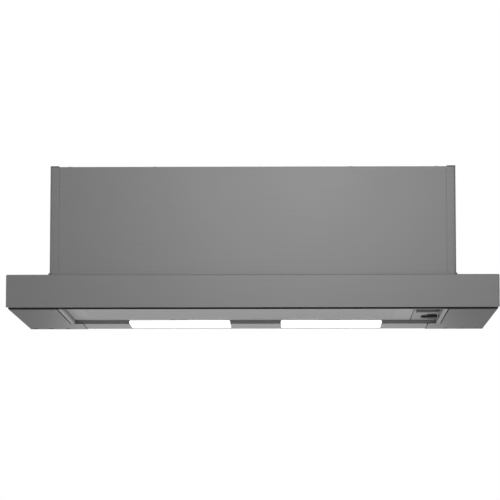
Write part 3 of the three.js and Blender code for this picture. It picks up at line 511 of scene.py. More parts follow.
def turned(
    profile: Sequence[tuple[float, float]], centre: Sequence[float], axis: str = "z", steps: int = 96
) -> Mesh:
    """Spin a closed profile about an axis.

    Args:
        profile: Radius and height along the axis of each point, in order round the section.
        centre: The axis's origin, in metres.
        axis: "x" or "z".
        steps: How many flats the circle has.

    Returns:
        The closed mesh.
    """
    bm = bmesh.new()
    rings = []
    for i in range(steps):
        turn = 2 * math.pi * i / steps
        ring = []
        for radius, height in profile:
            u, v = radius * math.cos(turn), radius * math.sin(turn)
            offset = Vector((height, u, v)) if axis == "x" else Vector((u, v, height))
            ring.append(bm.verts.new(Vector(centre) + offset))
        rings.append(ring)
    for ring, following in zip(rings, rings[1:] + rings[:1]):
        for k in range(len(profile)):
            other = (k + 1) % len(profile)
            bm.faces.new((ring[k], following[k], following[other], ring[other]))
    bmesh.ops.remove_doubles(bm, verts=bm.verts, dist=FINE_MERGE)
    bmesh.ops.dissolve_degenerate(bm, edges=bm.edges, dist=FINE_MERGE)
    bmesh.ops.delete(bm, geom=[edge for edge in bm.edges if edge.is_wire], context="EDGES")
    bmesh.ops.recalc_face_normals(bm, faces=bm.faces)
    return bm


def sweep(start: float, turn: float, steps: int) -> list[float]:
    """Angles from a start through a turn, in even steps."""
    return [start + turn * step / steps for step in range(steps + 1)]


def over_grip() -> float:
    """Height up to which a sheet is cut away for the grip."""
    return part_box("pull_grip")[1].z + GRIP_ROOM


def bent_outline(path: Sequence[tuple[float, float]], radius: float, thickness: float) -> list[Vector]:
    """Outline of a folded sheet's section: a path with its corners bent round.

    Args:
        path: The sheet's middle line, in metres.
        radius: Bend radius of the middle line.
        thickness: Sheet thickness.

    Returns:
        The outline's points, up one side of the sheet and back down the other.
    """
    points = [Vector(p) for p in path]
    line = [points[0]]
    for before, corner, after in zip(points, points[1:], points[2:]):
        inward, outward = (before - corner).normalized(), (after - corner).normalized()
        half = inward.angle(outward) / 2
        reach = radius / math.tan(half)
        centre = corner + (inward + outward).normalized() * radius / math.sin(half)
        start = corner + inward * reach - centre
        swing = start.angle_signed(corner + outward * reach - centre)
        line += [centre + Matrix.Rotation(turn, 2) @ start for turn in sweep(0.0, -swing, BEND_STEPS)]
    line.append(points[-1])
    normals = []
    for i in range(len(line)):
        ahead = line[min(i + 1, len(line) - 1)] - line[max(i - 1, 0)]
        normals.append(Vector((-ahead.y, ahead.x)).normalized() * thickness / 2)
    near = [place + normal for place, normal in zip(line, normals)]
    far = [place - normal for place, normal in zip(line, normals)]
    return near + far[::-1]


def prism(outline: Sequence[Vector], low: float, high: float, axis: str) -> Mesh:
    """Extrude a flat outline along an axis.

    Args:
        outline: Points in (y, z) for axis "x", (x, z) for "y", and (x, y) for "z".
        low: Where it starts on the axis.
        high: Where it ends.
        axis: "x", "y" or "z".

    Returns:
        The closed mesh.
    """
    bm = bmesh.new()
    ends = []
    for along in (low, high):
        places = ({"x": (along, u, v), "y": (u, along, v), "z": (u, v, along)}[axis] for u, v in outline)
        ends.append([bm.verts.new(place) for place in places])
    near, far = ends
    for i in range(len(outline)):
        other = (i + 1) % len(outline)
        bm.faces.new((near[i], near[other], far[other], far[i]))
    bm.faces.new(near)
    bm.faces.new(far)
    bmesh.ops.recalc_face_normals(bm, faces=bm.faces)
    return bm


def mirrored(bm: Mesh) -> Mesh:
    """Mirror a right-hand mesh.

    Args:
        bm: The right-hand mesh, which is left alone.

    Returns:
        The left-hand mesh.
    """
    copy = bm.copy()
    bmesh.ops.scale(copy, vec=(-1, 1, 1), verts=copy.verts)
    bmesh.ops.reverse_faces(copy, faces=copy.faces)
    return copy


def handed(name: str, right: Mesh) -> Iterator[tuple[str, Piece]]:
    """Make a right-hand piece and then its mirror.

    Args:
        name: The pieces' name, with {side} in it.
        right: The right-hand mesh, which is freed.

    Yields:
        The side and the object of each.
    """
    left = mirrored(right)
    for side, bm in (("right", right), ("left", left)):
        yield side, object_from(name.format(side=side), bm)


def gathered(parts: Iterable[Mesh]) -> Mesh:
    """Put several closed meshes into one.

    Args:
        parts: The meshes, which are freed.

    Returns:
        The mesh of them all.
    """
    whole = bmesh.new()
    for part in parts:
        mesh = bpy.data.meshes.new("part")
        part.to_mesh(mesh)
        part.free()
        whole.from_mesh(mesh)
        bpy.data.meshes.remove(mesh)
    return whole


def pierce(piece: Piece, cutters: Iterable[Mesh]) -> None:
    """Cut closed shapes out of a piece.

    Args:
        piece: The object.
        cutters: The shapes, which don't touch each other and are freed.
    """
    tool = object_from("cutters", gathered(cutters))
    cut = piece.modifiers.new("cut", "BOOLEAN")
    cut.operation, cut.solver, cut.object = "DIFFERENCE", "EXACT", tool
    apply_modifiers(piece)
    bpy.data.objects.remove(tool)
    shade(piece)


def slot_outline(middle: Sequence[float], length: float, width: float) -> list[Vector]:
    """Outline a slot with round ends, long along the first axis.

    Args:
        middle: The slot's middle.
        length: Its whole length.
        width: Its width.

    Returns:
        The outline's points.
    """
    u, v = middle
    reach = (length - width) / 2
    turns = sweep(0.0, math.pi, SLOT_STEPS)
    near = [Vector((u - reach - width / 2 * math.sin(t), v + width / 2 * math.cos(t))) for t in turns]
    far = [Vector((u + reach + width / 2 * math.sin(t), v - width / 2 * math.cos(t))) for t in turns]
    return near + far


# ---------------------------------------------------------------- geometry trees
def geometry_tree(name: str, inputs: dict[str, tuple[str, Any]]) -> tuple[Tree, Node]:
    """Start a geometry tree with named inputs, and one for the material.

    Args:
        name: The tree's name.
        inputs: Kind of socket and default value by input name.

    Returns:
        The tree and its input node.
    """
    tree = bpy.data.node_groups.new(name, "GeometryNodeTree")
    kinds = {"Geometry": ("Geometry", None), **inputs, "Material": ("Material", None)}
    for label, (kind, value) in kinds.items():
        socket = tree.interface.new_socket(label, in_out="INPUT", socket_type=f"NodeSocket{kind}")
        if value is not None:
            socket.default_value = value
    tree.interface.new_socket("Geometry", in_out="OUTPUT", socket_type="NodeSocketGeometry")
    return tree, add_node(tree, "NodeGroupInput")


def close_tree(tree: Tree, given: Node, shape: Node) -> Tree:
    """End a tree in Realize Instances and Set Material.

    Args:
        tree: The tree.
        given: Its input node.
        shape: The node that gives the shape.

    Returns:
        The same tree.
    """
    real = add_node(tree, "GeometryNodeRealizeInstances", {"Geometry": shape})
    settings = {"Geometry": real, "Material": given.outputs["Material"]}
    add_node(tree, "NodeGroupOutput", {"Geometry": add_node(tree, "GeometryNodeSetMaterial", settings)})
    return tree


def grow(name: str, tree: Tree, values: dict[str, Any], host: Optional[bpy.types.Mesh] = None) -> Piece:
    """Run a geometry tree and keep the result as plain mesh.

    Args:
        name: The piece's name.
        tree: The tree.
        values: Input values by name.
        host: The mesh that goes in, if the tree needs one.

    Returns:
        The finished object, without its modifier.
    """
    piece = bpy.data.objects.new(name, host or bpy.data.meshes.new(name))
    bpy.context.scene.collection.objects.link(piece)
    modifier = piece.modifiers.new(tree.name, "NODES")
    modifier.node_group = tree
    sockets = {item.name: item.identifier for item in tree.interface.items_tree if item.in_out == "INPUT"}
    for label, value in values.items():
        modifier[sockets[label]] = value
    apply_modifiers(piece)
    return piece


def expanded_mesh_tree() -> Tree:
    """Tree for expanded metal: zigzag strands, every second one mirrored, that meet in diamonds.

    Returns:
        The tree. Its sheet starts at Place and lies in X and Y.
    """
    tree, given = geometry_tree("expanded metal", {
        "Width": ("Float", 0.1),
        "Depth": ("Float", 0.1),
        "Long Way": ("Float", 0.006),
        "Short Way": ("Float", 0.003),
        "Strand": ("Float", 0.0004),
        "Place": ("Vector", (0.0, 0.0, 0.0)),
    })
    size = given.outputs
    index = add_node(tree, "GeometryNodeInputIndex")
    odd = add_node(tree, "ShaderNodeMath", {"operation": "MODULO", 0: index, 1: 2.0})
    half_long = add_node(tree, "ShaderNodeMath", {"operation": "MULTIPLY", 0: size["Long Way"], 1: 0.5})
    half_short = add_node(tree, "ShaderNodeMath", {"operation": "MULTIPLY", 0: size["Short Way"], 1: 0.5})

    # One strand: a line whose every second corner steps back by half a diamond.
    columns = add_node(tree, "ShaderNodeMath", {"operation": "DIVIDE", 0: size["Width"], 1: half_long})
    corners = add_node(tree, "ShaderNodeMath", {"operation": "ADD", 0: columns, 1: 1.0})
    stride = add_node(tree, "ShaderNodeCombineXYZ", {"X": half_long})
    line = add_node(tree, "GeometryNodeMeshLine", {"mode": "OFFSET", "Count": corners, "Offset": stride})
    zig = add_node(tree, "ShaderNodeMath", {"operation": "MULTIPLY", 0: odd, 1: half_short})
    shift = add_node(tree, "ShaderNodeCombineXYZ", {"Y": zig})
    zigzag = add_node(tree, "GeometryNodeSetPosition", {"Geometry": line, "Offset": shift})
    strand = add_node(tree, "GeometryNodeMeshToCurve", {"Mesh": zigzag})

    # A strand for every half diamond of depth, every second one mirrored on to the one behind it.
    count = add_node(tree, "ShaderNodeMath", {"operation": "DIVIDE", 0: size["Depth"], 1: half_short})
    rows = add_node(tree, "GeometryNodeMeshLine", {
        "mode": "OFFSET", "Offset": (0.0, 0.0, 0.0), "Count": count,
    })
    pair = add_node(tree, "ShaderNodeMath", {"operation": "MULTIPLY_ADD", 0: index, 1: 0.5, 2: 0.5})
    step = add_node(tree, "ShaderNodeMath", {"operation": "FLOOR", 0: pair})
    rise = add_node(tree, "ShaderNodeMath", {"operation": "MULTIPLY", 0: step, 1: size["Short Way"]})
    lift = add_node(tree, "ShaderNodeCombineXYZ", {"Y": rise})
    spread = add_node(tree, "GeometryNodeSetPosition", {"Geometry": rows, "Offset": lift})
    flip = add_node(tree, "ShaderNodeMath", {"operation": "MULTIPLY_ADD", 0: odd, 1: -2.0, 2: 1.0})
    scale = add_node(tree, "ShaderNodeCombineXYZ", {"X": 1.0, "Y": flip, "Z": 1.0})
    strands = add_node(tree, "GeometryNodeInstanceOnPoints", {
        "Points": spread, "Instance": strand, "Scale": scale,
    })
    curves = add_node(tree, "GeometryNodeRealizeInstances", {"Geometry": strands})
    wire = add_node(tree, "GeometryNodeCurvePrimitiveCircle", {"Resolution": 4, "Radius": size["Strand"]})
    sheet = add_node(tree, "GeometryNodeCurveToMesh", {
        "Fill Caps": True, "Curve": curves, "Profile Curve": wire,
    })
    placed = add_node(tree, "GeometryNodeTransform", {"Geometry": sheet, "Translation": size["Place"]})
    return close_tree(tree, given, placed)


def fastener_tree() -> Tree:
    """Tree that sets one head, such as a screw's, at each point of the host.

    Returns:
        The tree. Each point's turn attribute holds the head's rotation.
    """
    tree, given = geometry_tree("fasteners", {"Head": ("Object", None)})
    head = add_node(tree, "GeometryNodeObjectInfo", {"Object": given.outputs["Head"]})
    turn = add_node(tree, "GeometryNodeInputNamedAttribute", {"data_type": "FLOAT_VECTOR", "Name": "turn"})
    heads = add_node(tree, "GeometryNodeInstanceOnPoints", {
        "Points": given.outputs["Geometry"],
        "Instance": head.outputs["Geometry"],
        "Rotation": turn.outputs["Attribute"],
    })
    return close_tree(tree, given, heads)


def blade_wheel_tree() -> Tree:
    """Tree for a blower wheel's blades: one swept blade set round a circle.

    Returns:
        The tree. The wheel's axis is X, through Place.
    """
    tree, given = geometry_tree("blower blades", {
        "Blades": ("Int", 40),
        "Inner Radius": ("Float", 0.037),
        "Outer Radius": ("Float", 0.0455),
        "Lead": ("Float", 0.006),
        "Width": ("Float", 0.09),
        "Thickness": ("Float", 0.0008),
        "Place": ("Vector", (0.0, 0.0, 0.0)),
    })
    size = given.outputs
    both = add_node(tree, "ShaderNodeMath", {
        "operation": "ADD", 0: size["Inner Radius"], 1: size["Outer Radius"],
    })
    halfway = add_node(tree, "ShaderNodeMath", {"operation": "MULTIPLY", 0: both, 1: 0.5})
    arc = add_node(tree, "GeometryNodeCurveQuadraticBezier", {
        "Resolution": 6,
        "Start": add_node(tree, "ShaderNodeCombineXYZ", {"X": size["Inner Radius"]}),
        "Middle": add_node(tree, "ShaderNodeCombineXYZ", {"X": halfway}),
        "End": add_node(tree, "ShaderNodeCombineXYZ", {"X": size["Outer Radius"], "Y": size["Lead"]}),
    })
    section = add_node(tree, "GeometryNodeCurvePrimitiveQuadrilateral", {
        "Width": size["Thickness"], "Height": size["Width"],
    })
    upright = add_node(tree, "GeometryNodeSetCurveNormal", {"mode": "Z_UP", "Curve": arc})
    blade = add_node(tree, "GeometryNodeCurveToMesh", {
        "Fill Caps": True, "Curve": upright, "Profile Curve": section,
    })
    ring = add_node(tree, "GeometryNodeMeshLine", {
        "mode": "OFFSET", "Offset": (0.0, 0.0, 0.0), "Count": size["Blades"],
    })
    index = add_node(tree, "GeometryNodeInputIndex")
    share = add_node(tree, "ShaderNodeMath", {"operation": "DIVIDE", 0: index, 1: size["Blades"]})
    turn = add_node(tree, "ShaderNodeMath", {"operation": "MULTIPLY", 0: share, 1: 2 * math.pi})
    angle = add_node(tree, "ShaderNodeCombineXYZ", {"Z": turn})
    blades = add_node(tree, "GeometryNodeInstanceOnPoints", {
        "Points": ring, "Instance": blade, "Rotation": angle,
    })
    placed = add_node(tree, "GeometryNodeTransform", {
        "Rotation": (0.0, math.pi / 2, 0.0), "Geometry": blades, "Translation": size["Place"],
    })
    return close_tree(tree, given, placed)


# ---------------------------------------------------------------- dressing
class Facing(Enum):
    """Rotation that turns a head's top from +Z to the way a face looks."""

    UP = (0.0, 0.0, 0.0)
    COOK = (math.pi / 2, 0.0, 0.0)
    WALL = (-math.pi / 2, 0.0, 0.0)
    RIGHT = (0.0, math.pi / 2, 0.0)
    LEFT = (0.0, -math.pi / 2, 0.0)


@dataclass(frozen=True)
class Head:
    """A fastener's head, with its seat on z = 0 and its top along +Z.

    The section gives each point's radius and height as shares of the head's own. The cross is the
    recess's reach and half-width as shares of the radius, and its floor as a share of the height.
    """

    name: str
    radius: float
    height: float
    flats: int
    section: tuple[tuple[float, float], ...]
    cross: Optional[tuple[float, float, float]] = None

    def build(self) -> Piece:
        """Turn the head and sink its recess.

        Returns:
            The template, which isn't shown.
        """
        profile = [(self.radius * out, self.height * up) for out, up in self.section]
        head = object_from(self.name, turned(profile, (0, 0, 0), steps=self.flats))
        if self.cross:
            long, wide, floor = self.radius * self.cross[0], self.radius * self.cross[1], self.cross[2]
            for x, y in ((long, wide), (wide, long)):
                pierce(head, [block((-x, -y, self.height * floor), (x, y, self.height * 2))])
        return head


SCREW = Head(
    "screw_head", 3.4 * MM, 1.6 * MM, 24,
    ((0.0, 0.0), (1.0, 0.0), (1.0, 0.35), (0.92, 0.7), (0.7, 0.93), (0.0, 1.0)), (0.62, 0.13, 0.45),
)
RIVET = Head(
    "rivet_head", 2.4 * MM, 0.8 * MM, 16,
    ((0.0, 0.0), (1.0, 0.0), (0.9, 0.55), (0.55, 1.0), (0.3, 0.9), (0.0, 0.6)),
)


class Workshop:
    """The loaded frame, with what is needed to dress its nodes and seat new pieces on them."""

    def __init__(self, frame: dict[str, Any]) -> None:
        """Read which body each CAD node is on, and make the trees and the heads.
        """
        bodies = frame["record"]["behaviour"]["bodies"]
        self.nodes: dict[str, Piece] = frame["nodes"]
        self.body_of = {node: body for body, members in bodies.items() for node in members}
        self.mesh_tree = expanded_mesh_tree()
        self.fastener_tree = fastener_tree()
        self.blade_tree = blade_wheel_tree()
        self.heads = {head: head.build() for head in (SCREW, RIVET)}

    def clear(self) -> None:
        """Take the heads that served as templates out of the scene."""
        for head in self.heads.values():
            bpy.data.objects.remove(head)

    def paint(self, piece: Piece, finish: Finish) -> None:
        """Give a whole object one finish.

        Args:
            piece: The object.
            finish: Its material.
        """
        piece.data.materials.clear()
        piece.data.materials.append(finish.build())
        for face in piece.data.polygons:
            face.material_index = 0

    def keep(self, finish: Finish, *names: str) -> None:
        """Leave CAD nodes as they are and give them a finish.

        Args:
            finish: Their material.
            names: The nodes.
        """
        for name in names:
            self.paint(self.nodes[name], finish)
            log.info("%s keeps its shape, in %s", name, finish.name)

    def seat(self, piece: Piece, finish: Finish, body: str, *replaced: str) -> Piece:
        """Finish a new piece, and let it ride on a body and stand for CAD nodes.

        Args:
            piece: The new object.
            finish: Its material.
            body: The body it moves with.
            replaced: The CAD nodes that it stands for.

        Returns:
            The same object.
        """
        self.paint(piece, finish)
        if replaced:
            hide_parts(*replaced)
        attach(piece, body)
        log.info("%s rides on %s, %d faces", piece.name, body, len(piece.data.polygons))
        return piece

    def soften(self, node: str, form: str, finish: Finish, edge_mm: float = 0.3, steps: int = 2) -> Piece:
        """Stand in for a CAD node with the same shape, its faces merged and its edges rounded.

        Args:
            node: The CAD node.
            form: What the piece is, which ends its name.
            finish: Its material.
            edge_mm: Radius of its edges.
            steps: Flats across each rounded edge.

        Returns:
            The new piece, seated on the node's body.
        """
        bm = merged(self.nodes[node].data)
        flat = math.radians(FLAT_DEG)
        bmesh.ops.dissolve_limit(bm, angle_limit=flat, verts=bm.verts, edges=bm.edges, delimit=set())
        piece = object_from(f"{node}_{form}", bm)
        round_edges(piece, edge_mm, steps)
        return self.seat(piece, finish, self.body_of[node], node)

    def weave(self, name: str, body: str, sizes: dict[str, Any]) -> None:
        """Lay a sheet of expanded mesh.

        Args:
            name: The piece's name.
            body: The body that it rides on.
            sizes: The mesh tree's sizes and place.
        """
        sheet = grow(name, self.mesh_tree, {**sizes, "Material": EXPANDED.build()})
        self.seat(sheet, EXPANDED, body)

    def fasten(
        self, name: str, body: str, head: Head, places: Sequence[Sequence[float]], facing: Facing = Facing.UP
    ) -> None:
        """Set a head at each place, all turned the same way.

        Args:
            name: The piece's name.
            body: The body that it rides on.
            head: The kind of head.
            places: Where the heads sit.
            facing: The way their tops look.
        """
        host = bpy.data.meshes.new(name)
        host.from_pydata([tuple(place) for place in places], [], [])
        attribute = host.attributes.new("turn", "FLOAT_VECTOR", "POINT")
        attribute.data.foreach_set("vector", [value for _ in places for value in facing.value])
        values = {"Head": self.heads[head], "Material": BRIGHT_STEEL.build()}
        piece = grow(name, self.fastener_tree, values, host)
        shade(piece)
        self.seat(piece, BRIGHT_STEEL, body)


# ---------------------------------------------------------------- sub-assemblies
@dataclass
class Assembly:
    """What every sub-assembly has: the workshop that seats its pieces."""

    shop: Workshop

    def build(self) -> None:
        """Dress every piece of the sub-assembly."""


@dataclass
class UpperBody(Assembly):
    """The box that stands in the cabinet: front panel, sides, top and rear."""

    sheet: float = 1.0 * MM
    bend: float = 1.6 * MM
    seam_depth: float = 0.1 * MM
    key_x: float = 190 * MM
    key_z: float = 140 * MM
    key_head: float = 5.5 * MM
    key_slot: float = 2.8 * MM
    key_rise: float = 11 * MM
    key_steps: int = 20
    key_slot_steps: int = 8
    bead_ys: tuple[float, ...] = (-0.105, -0.085)
    bead_size: tuple[float, float, float] = (0.19, 0.004, 0.0012)
    screw_xs: tuple[float, ...] = (-0.225, -0.12, 0.12, 0.225)
    screw_inset: float = 0.008
    rivet_ys: tuple[float, ...] = (-0.09, 0.0, 0.09)
    rivet_zs: tuple[float, ...] = (0.06, 0.155)

    def build(self) -> None:
        """Dress every piece of the body."""
        self.shop.soften("body_front", "panel", STAINLESS)
        self.side_panels()
        self.seam_tabs()
        self.shop.keep(ZINC, "body_top")
        rear = self.shop.soften("body_rear", "panel", ZINC, edge_mm=0.2)
        pierce(rear, [self.keyhole(side * self.key_x) for side in BOTH])
        for side in SIDES:
            self.shop.soften(f"flange_cap_{side}", "moulding", BLACK_ABS)
        self.top_beads()
        self.fasteners()

    def side_panels(self) -> None:
        """Fold each side panel with its narrow front flange."""
        low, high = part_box("body_side_right")
        half = self.sheet / 2
        path = [(low.x, low.y + half), (high.x - half, low.y + half), (high.x - half, high.y)]
        right = prism(bent_outline(path, self.bend, self.sheet), low.z, high.z, "z")
        for side, panel in handed("body_side_{side}_panel", right):
            self.shop.seat(panel, STAINLESS, "housing", f"body_side_{side}")

    def seam_tabs(self) -> None:
        """Close each joint beside the front panel with a folded tab, just below the surface."""
        low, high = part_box("body_front")
        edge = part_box("flange_cap_right")[0].x
        right = block((high.x, low.y + self.seam_depth, low.z), (edge, low.y + self.sheet, high.z))
        for _, tab in handed("seam_tab_{side}", right):
            self.shop.seat(tab, STAINLESS, "housing")

    def keyhole(self, x: float) -> Mesh:
        """Cutter for one hanging hole of the rear panel: round below, with a slot above.

        Args:
            x: The hole's middle.

        Returns:
            The closed mesh.
        """
        head, slot, z = self.key_head, self.key_slot, self.key_z
        start = math.acos(slot / head)
        below = sweep(start, -(math.pi + 2 * start), self.key_steps)
        outline = [Vector((x + head * math.cos(t), z + head * math.sin(t))) for t in below]
        above = sweep(0.0, math.pi, self.key_slot_steps)
        z += self.key_rise
        outline += [Vector((x - slot * math.cos(t), z + slot * math.sin(t))) for t in above]
        low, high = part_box("body_rear")
        return prism(outline, low.y - PAST, high.y + PAST, "y")

    def top_beads(self) -> None:
        """Press two stiffening beads into the top, in front of the collar."""
        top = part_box("body_top")[1].z
        size = Matrix.Diagonal((*self.bead_size, 1.0))
        for number, y in enumerate(self.bead_ys):
            bm = bmesh.new()
            bmesh.ops.create_uvsphere(bm, u_segments=24, v_segments=12, radius=1.0)
            bmesh.ops.transform(bm, matrix=Matrix.Translation((0, y, top)) @ size, verts=bm.verts)
            self.shop.seat(object_from(f"top_bead_{number}", bm), ZINC, "housing")

    def fasteners(self) -> None:
        """Screw the sides down to the top and rivet the seams."""
        low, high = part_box("body_top")
        ys = (low.y + self.screw_inset, high.y - self.screw_inset)
        places = [(x, y, high.z) for x in self.screw_xs for y in ys]
        self.shop.fasten("top_screws", "housing", SCREW, places)
        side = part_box("body_side_right")[1]
        for name, x, facing in (("right", side.x, Facing.RIGHT), ("left", -side.x, Facing.LEFT)):
            places = [(x, y, z) for y in self.rivet_ys for z in self.rivet_zs]
            self.shop.fasten(f"side_rivets_{name}", "housing", RIVET, places, facing)


@dataclass
class Wings(Assembly):
    """The flat boxes on both sides that hide the runners."""

    sheet: float = 1.0 * MM
    bend: float = 1.6 * MM
    flange: float = 6.0 * MM
    screw_x: float = 0.273
    screw_ys: tuple[float, ...] = (-0.09, 0.12)

    def build(self) -> None:
        """Fold the covers and dress the plates under them."""
        low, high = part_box("wing_cover_right")
        half = self.sheet / 2
        outer, inner, top = high.x - half, low.x + half, high.z - self.flange
        path = [(outer, low.z), (outer, top - half), (inner, top - half), (inner, high.z)]
        right = prism(bent_outline(path, self.bend, self.sheet), low.y, high.y, "y")
        plate_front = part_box("wing_plate_right")[0].y
        for side, cover in handed("wing_cover_{side}_sheet", right):
            hand = -1 if side == "left" else 1
            near, far = sorted((hand * (low.x - PAST), hand * (high.x + PAST)))
            pierce(cover, [block((near, low.y - PAST, low.z - PAST), (far, plate_front, over_grip()))])
            self.shop.seat(cover, STAINLESS_DEEP, "housing", f"wing_cover_{side}")
            # The plates get the sheet's darker copy, which paints the shade under the wings.
            self.shop.soften(f"wing_plate_{side}", "sheet", STAINLESS_SHADED_UNDER, edge_mm=0.25)
        places = [(hand * self.screw_x, y, top) for hand in BOTH for y in self.screw_ys]
        self.shop.fasten("wing_screws", "housing", SCREW, places)


@dataclass
class Intake(Assembly):
    """Deck between the visor bay and the blower chamber, with its two mesh filters."""

    lap: float = 12 * MM
    strand: float = 0.35 * MM
    long_way: float = 7 * MM
    short_way: float = 3.6 * MM
    recess: float = 2.4 * MM
    pull_width: float = 26 * MM
    pull_depth: float = 7 * MM
    pull_low: float = 0.4 * MM
    pull_high: float = 1.6 * MM
    pull_edge_mm: float = 0.4

    def build(self) -> None:
        """Dress the deck, and give both filters their mesh and pull."""
        self.shop.keep(ZINC, "intake_deck")
        for side in SIDES:
            node = f"upper_filter_{side}"
            self.shop.soften(node, "cassette", ANODISED)
            low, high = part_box(node)
            self.shop.weave(f"{node}_mesh", "housing", {
                "Width": high.x - low.x - 2 * self.lap,
                "Depth": high.y - low.y - 2 * self.lap,
                "Long Way": self.long_way,
                "Short Way": self.short_way,
                "Strand": self.strand,
                "Place": (low.x + self.lap, low.y + self.lap, high.z - self.recess - self.strand),
            })
            middle, front, half = (low.x + high.x) / 2, low.y + self.lap, self.pull_width / 2
            pull = object_from(f"{node}_pull", block(
                (middle - half, front, low.z + self.pull_low),
                (middle + half, front + self.pull_depth, low.z + self.pull_high),
            ))
            round_edges(pull, self.pull_edge_mm, steps=3)
            self.shop.seat(pull, ANODISED, "housing")


@dataclass
class Lamps(Assembly):
    """The panel behind the visor with its two lit oblong lamps."""

    sheet: float = 1.0 * MM
    part_room: float = 0.01 * MM
    edge_mm: float = 0.25

    def part_of_panel(self, flange: bool) -> Mesh:
        """The panel's upturned flange or the sheet behind it, closed where they are parted.

        Args:
            flange: Whether the flange is wanted.

        Returns:
            The closed mesh.
        """
        bm = merged(self.shop.nodes["lamp_panel"].data)
        bmesh.ops.bisect_plane(
            bm,
            geom=bm.verts[:] + bm.edges[:] + bm.faces[:],
            plane_co=(0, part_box("lamp_panel")[0].y + self.sheet + self.part_room, 0),
            plane_no=(0, 1, 0),
            clear_outer=flange,
            clear_inner=not flange,
        )
        bmesh.ops.edgenet_fill(bm, edges=[edge for edge in bm.edges if edge.is_boundary])
        bmesh.ops.dissolve_limit(bm, angle_limit=math.radians(FLAT_DEG), verts=bm.verts, edges=bm.edges)
        bmesh.ops.recalc_face_normals(bm, faces=bm.faces)
        return bm

    def build(self) -> None:
        """Dress the panel, the flange that closes the visor's bay, and the lamps."""
        # The flange's dulled, darkened steel paints the shade of the visor's bay.
        # The sheet's paler satin paints the light that the lamps throw on it.
        for form, finish, flange in (("sheet", SATIN_LAMP_LIT, False), ("flange", BAY_SHADE_STEEL, True)):
            piece = object_from(f"lamp_panel_{form}", self.part_of_panel(flange))
            round_edges(piece, self.edge_mm)
            self.shop.seat(piece, finish, "housing", "lamp_panel")
        for side in SIDES:
            self.shop.soften(f"lamp_lens_{side}", "diffuser", OPAL, edge_mm=1.0, steps=3)
            self.shop.soften(f"lamp_body_{side}", "moulding", BLACK_ABS, edge_mm=1.0)


@dataclass
class Facia(Assembly):
    """The full-width front of the visor, with the grip under it."""

    sheet: float = 1.0 * MM
    bend: float = 1.5 * MM
    bend_steps: int = 4
    fold_deg: float = 50.0
    rivet_xs: tuple[float, ...] = (-0.27, -0.18, -0.09, 0.0, 0.09, 0.18, 0.27)
    rivet_z: float = 0.034

    def folded_sheet(self) -> Piece:
        """Fold the facia from one sheet: a block, open behind and below, with its edges bent.

        Returns:
            The sheet with its thickness.
        """
        low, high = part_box("facia")
        bm = block(low, high)
        open_faces = [face for face in bm.faces if face.normal.y > 0.5 or face.normal.z < -0.5]
        bmesh.ops.delete(bm, geom=open_faces, context="FACES_ONLY")
        folds = [edge for edge in bm.edges if len(edge.link_faces) == 2]
        bmesh.ops.bevel(
            bm, geom=folds, offset=self.bend, segments=self.bend_steps, profile=0.5, affect="EDGES"
        )
        bmesh.ops.recalc_face_normals(bm, faces=bm.faces)
        front = min(bm.faces, key=lambda face: face.calc_center_median().y)
        if front.normal.dot(front.calc_center_median() - (low + high) / 2) < 0:
            bmesh.ops.reverse_faces(bm, faces=bm.faces)
        facia = object_from("facia_sheet", bm, self.fold_deg)
        wall = facia.modifiers.new("wall", "SOLIDIFY")
        wall.thickness, wall.offset, wall.use_even_offset = self.sheet, -1.0, True
        apply_modifiers(facia)
        return facia

    def build(self) -> None:
        """Fold the facia, open its ends for the grip and dress what is behind it."""
        facia = self.folded_sheet()
        low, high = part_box("facia")
        pierce(facia, [
            block(
                (side * high.x - 2 * self.sheet, low.y + self.sheet, low.z - PAST),
                (side * high.x + 2 * self.sheet, high.y + PAST, over_grip()),
            )
            for side in BOTH
        ])
        self.shop.seat(facia, STAINLESS, "visor", "facia")
        self.shop.keep(ZINC, "facia_backing")
        self.shop.soften("pull_grip", "moulding", BLACK_ABS, edge_mm=0.5, steps=3)
        places = [(x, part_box("facia_backing")[1].y, self.rivet_z) for x in self.rivet_xs]
        self.shop.fasten("facia_rivets", "visor", RIVET, places, Facing.WALL)


@dataclass
class VisorFrame(Assembly):
    """Side bars and crossbars of the sliding visor, and the runners that carry it."""

    channel: float = 1.5 * MM
    rivet_inset: float = 2.6 * MM
    slot_length: float = 16 * MM
    slot_width: float = 6 * MM
    runner_slots: tuple[tuple[str, int], ...] = (("outer", 6), ("middle", 5), ("inner", 4))
    lip_ys: tuple[float, ...] = (-0.09, -0.03, 0.03)
    lip_drop: float = 4.5 * MM

    def build(self) -> None:
        """Dress the frame and the three members of both runners."""
        for side in SIDES:
            self.shop.soften(f"visor_bar_{side}", "moulding", GREY_ABS, edge_mm=0.35)
            for member, slots in self.runner_slots:
                self.rail(f"runner_{member}_{side}", slots)
            self.lip_rivets(side)
        for end in ("front", "rear"):
            node = f"visor_crossbar_{end}"
            self.shop.soften(node, "channel", ZINC)
            low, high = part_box(node)
            x, y = high.x - self.rivet_inset, (low.y + high.y) / 2
            places = [(side * x, y, low.z + self.channel) for side in BOTH]
            self.shop.fasten(f"{node}_rivets", "visor", RIVET, places)
        self.shop.soften("visor_magnet", "block", BRIGHT_STEEL)

    def rail(self, node: str, slots: int) -> None:
        """Dress one member of a runner, with a row of slots through its web.

        Args:
            node: The CAD node.
            slots: How many slots it has.
        """
        rail = self.shop.soften(node, "rail", ZINC, edge_mm=0.25)
        low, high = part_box(node)
        pitch, z = (high.y - low.y) / slots, (low.z + high.z) / 2
        outlines = [
            slot_outline((low.y + (k + 0.5) * pitch, z), self.slot_length, self.slot_width)
            for k in range(slots)
        ]
        pierce(rail, [prism(outline, low.x - PAST, high.x + PAST, "x") for outline in outlines])

    def lip_rivets(self, side: str) -> None:
        """Rivet one bar's upturned lip to the inner runner member.

        Args:
            side: "left" or "right".
        """
        low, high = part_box(f"visor_bar_{side}")
        if side == "right":
            x, facing = high.x - self.channel, Facing.LEFT
        else:
            x, facing = low.x + self.channel, Facing.RIGHT
        places = [(x, y, high.z - self.lip_drop) for y in self.lip_ys]
        self.shop.fasten(f"visor_bar_{side}_rivets", "visor", RIVET, places, facing)


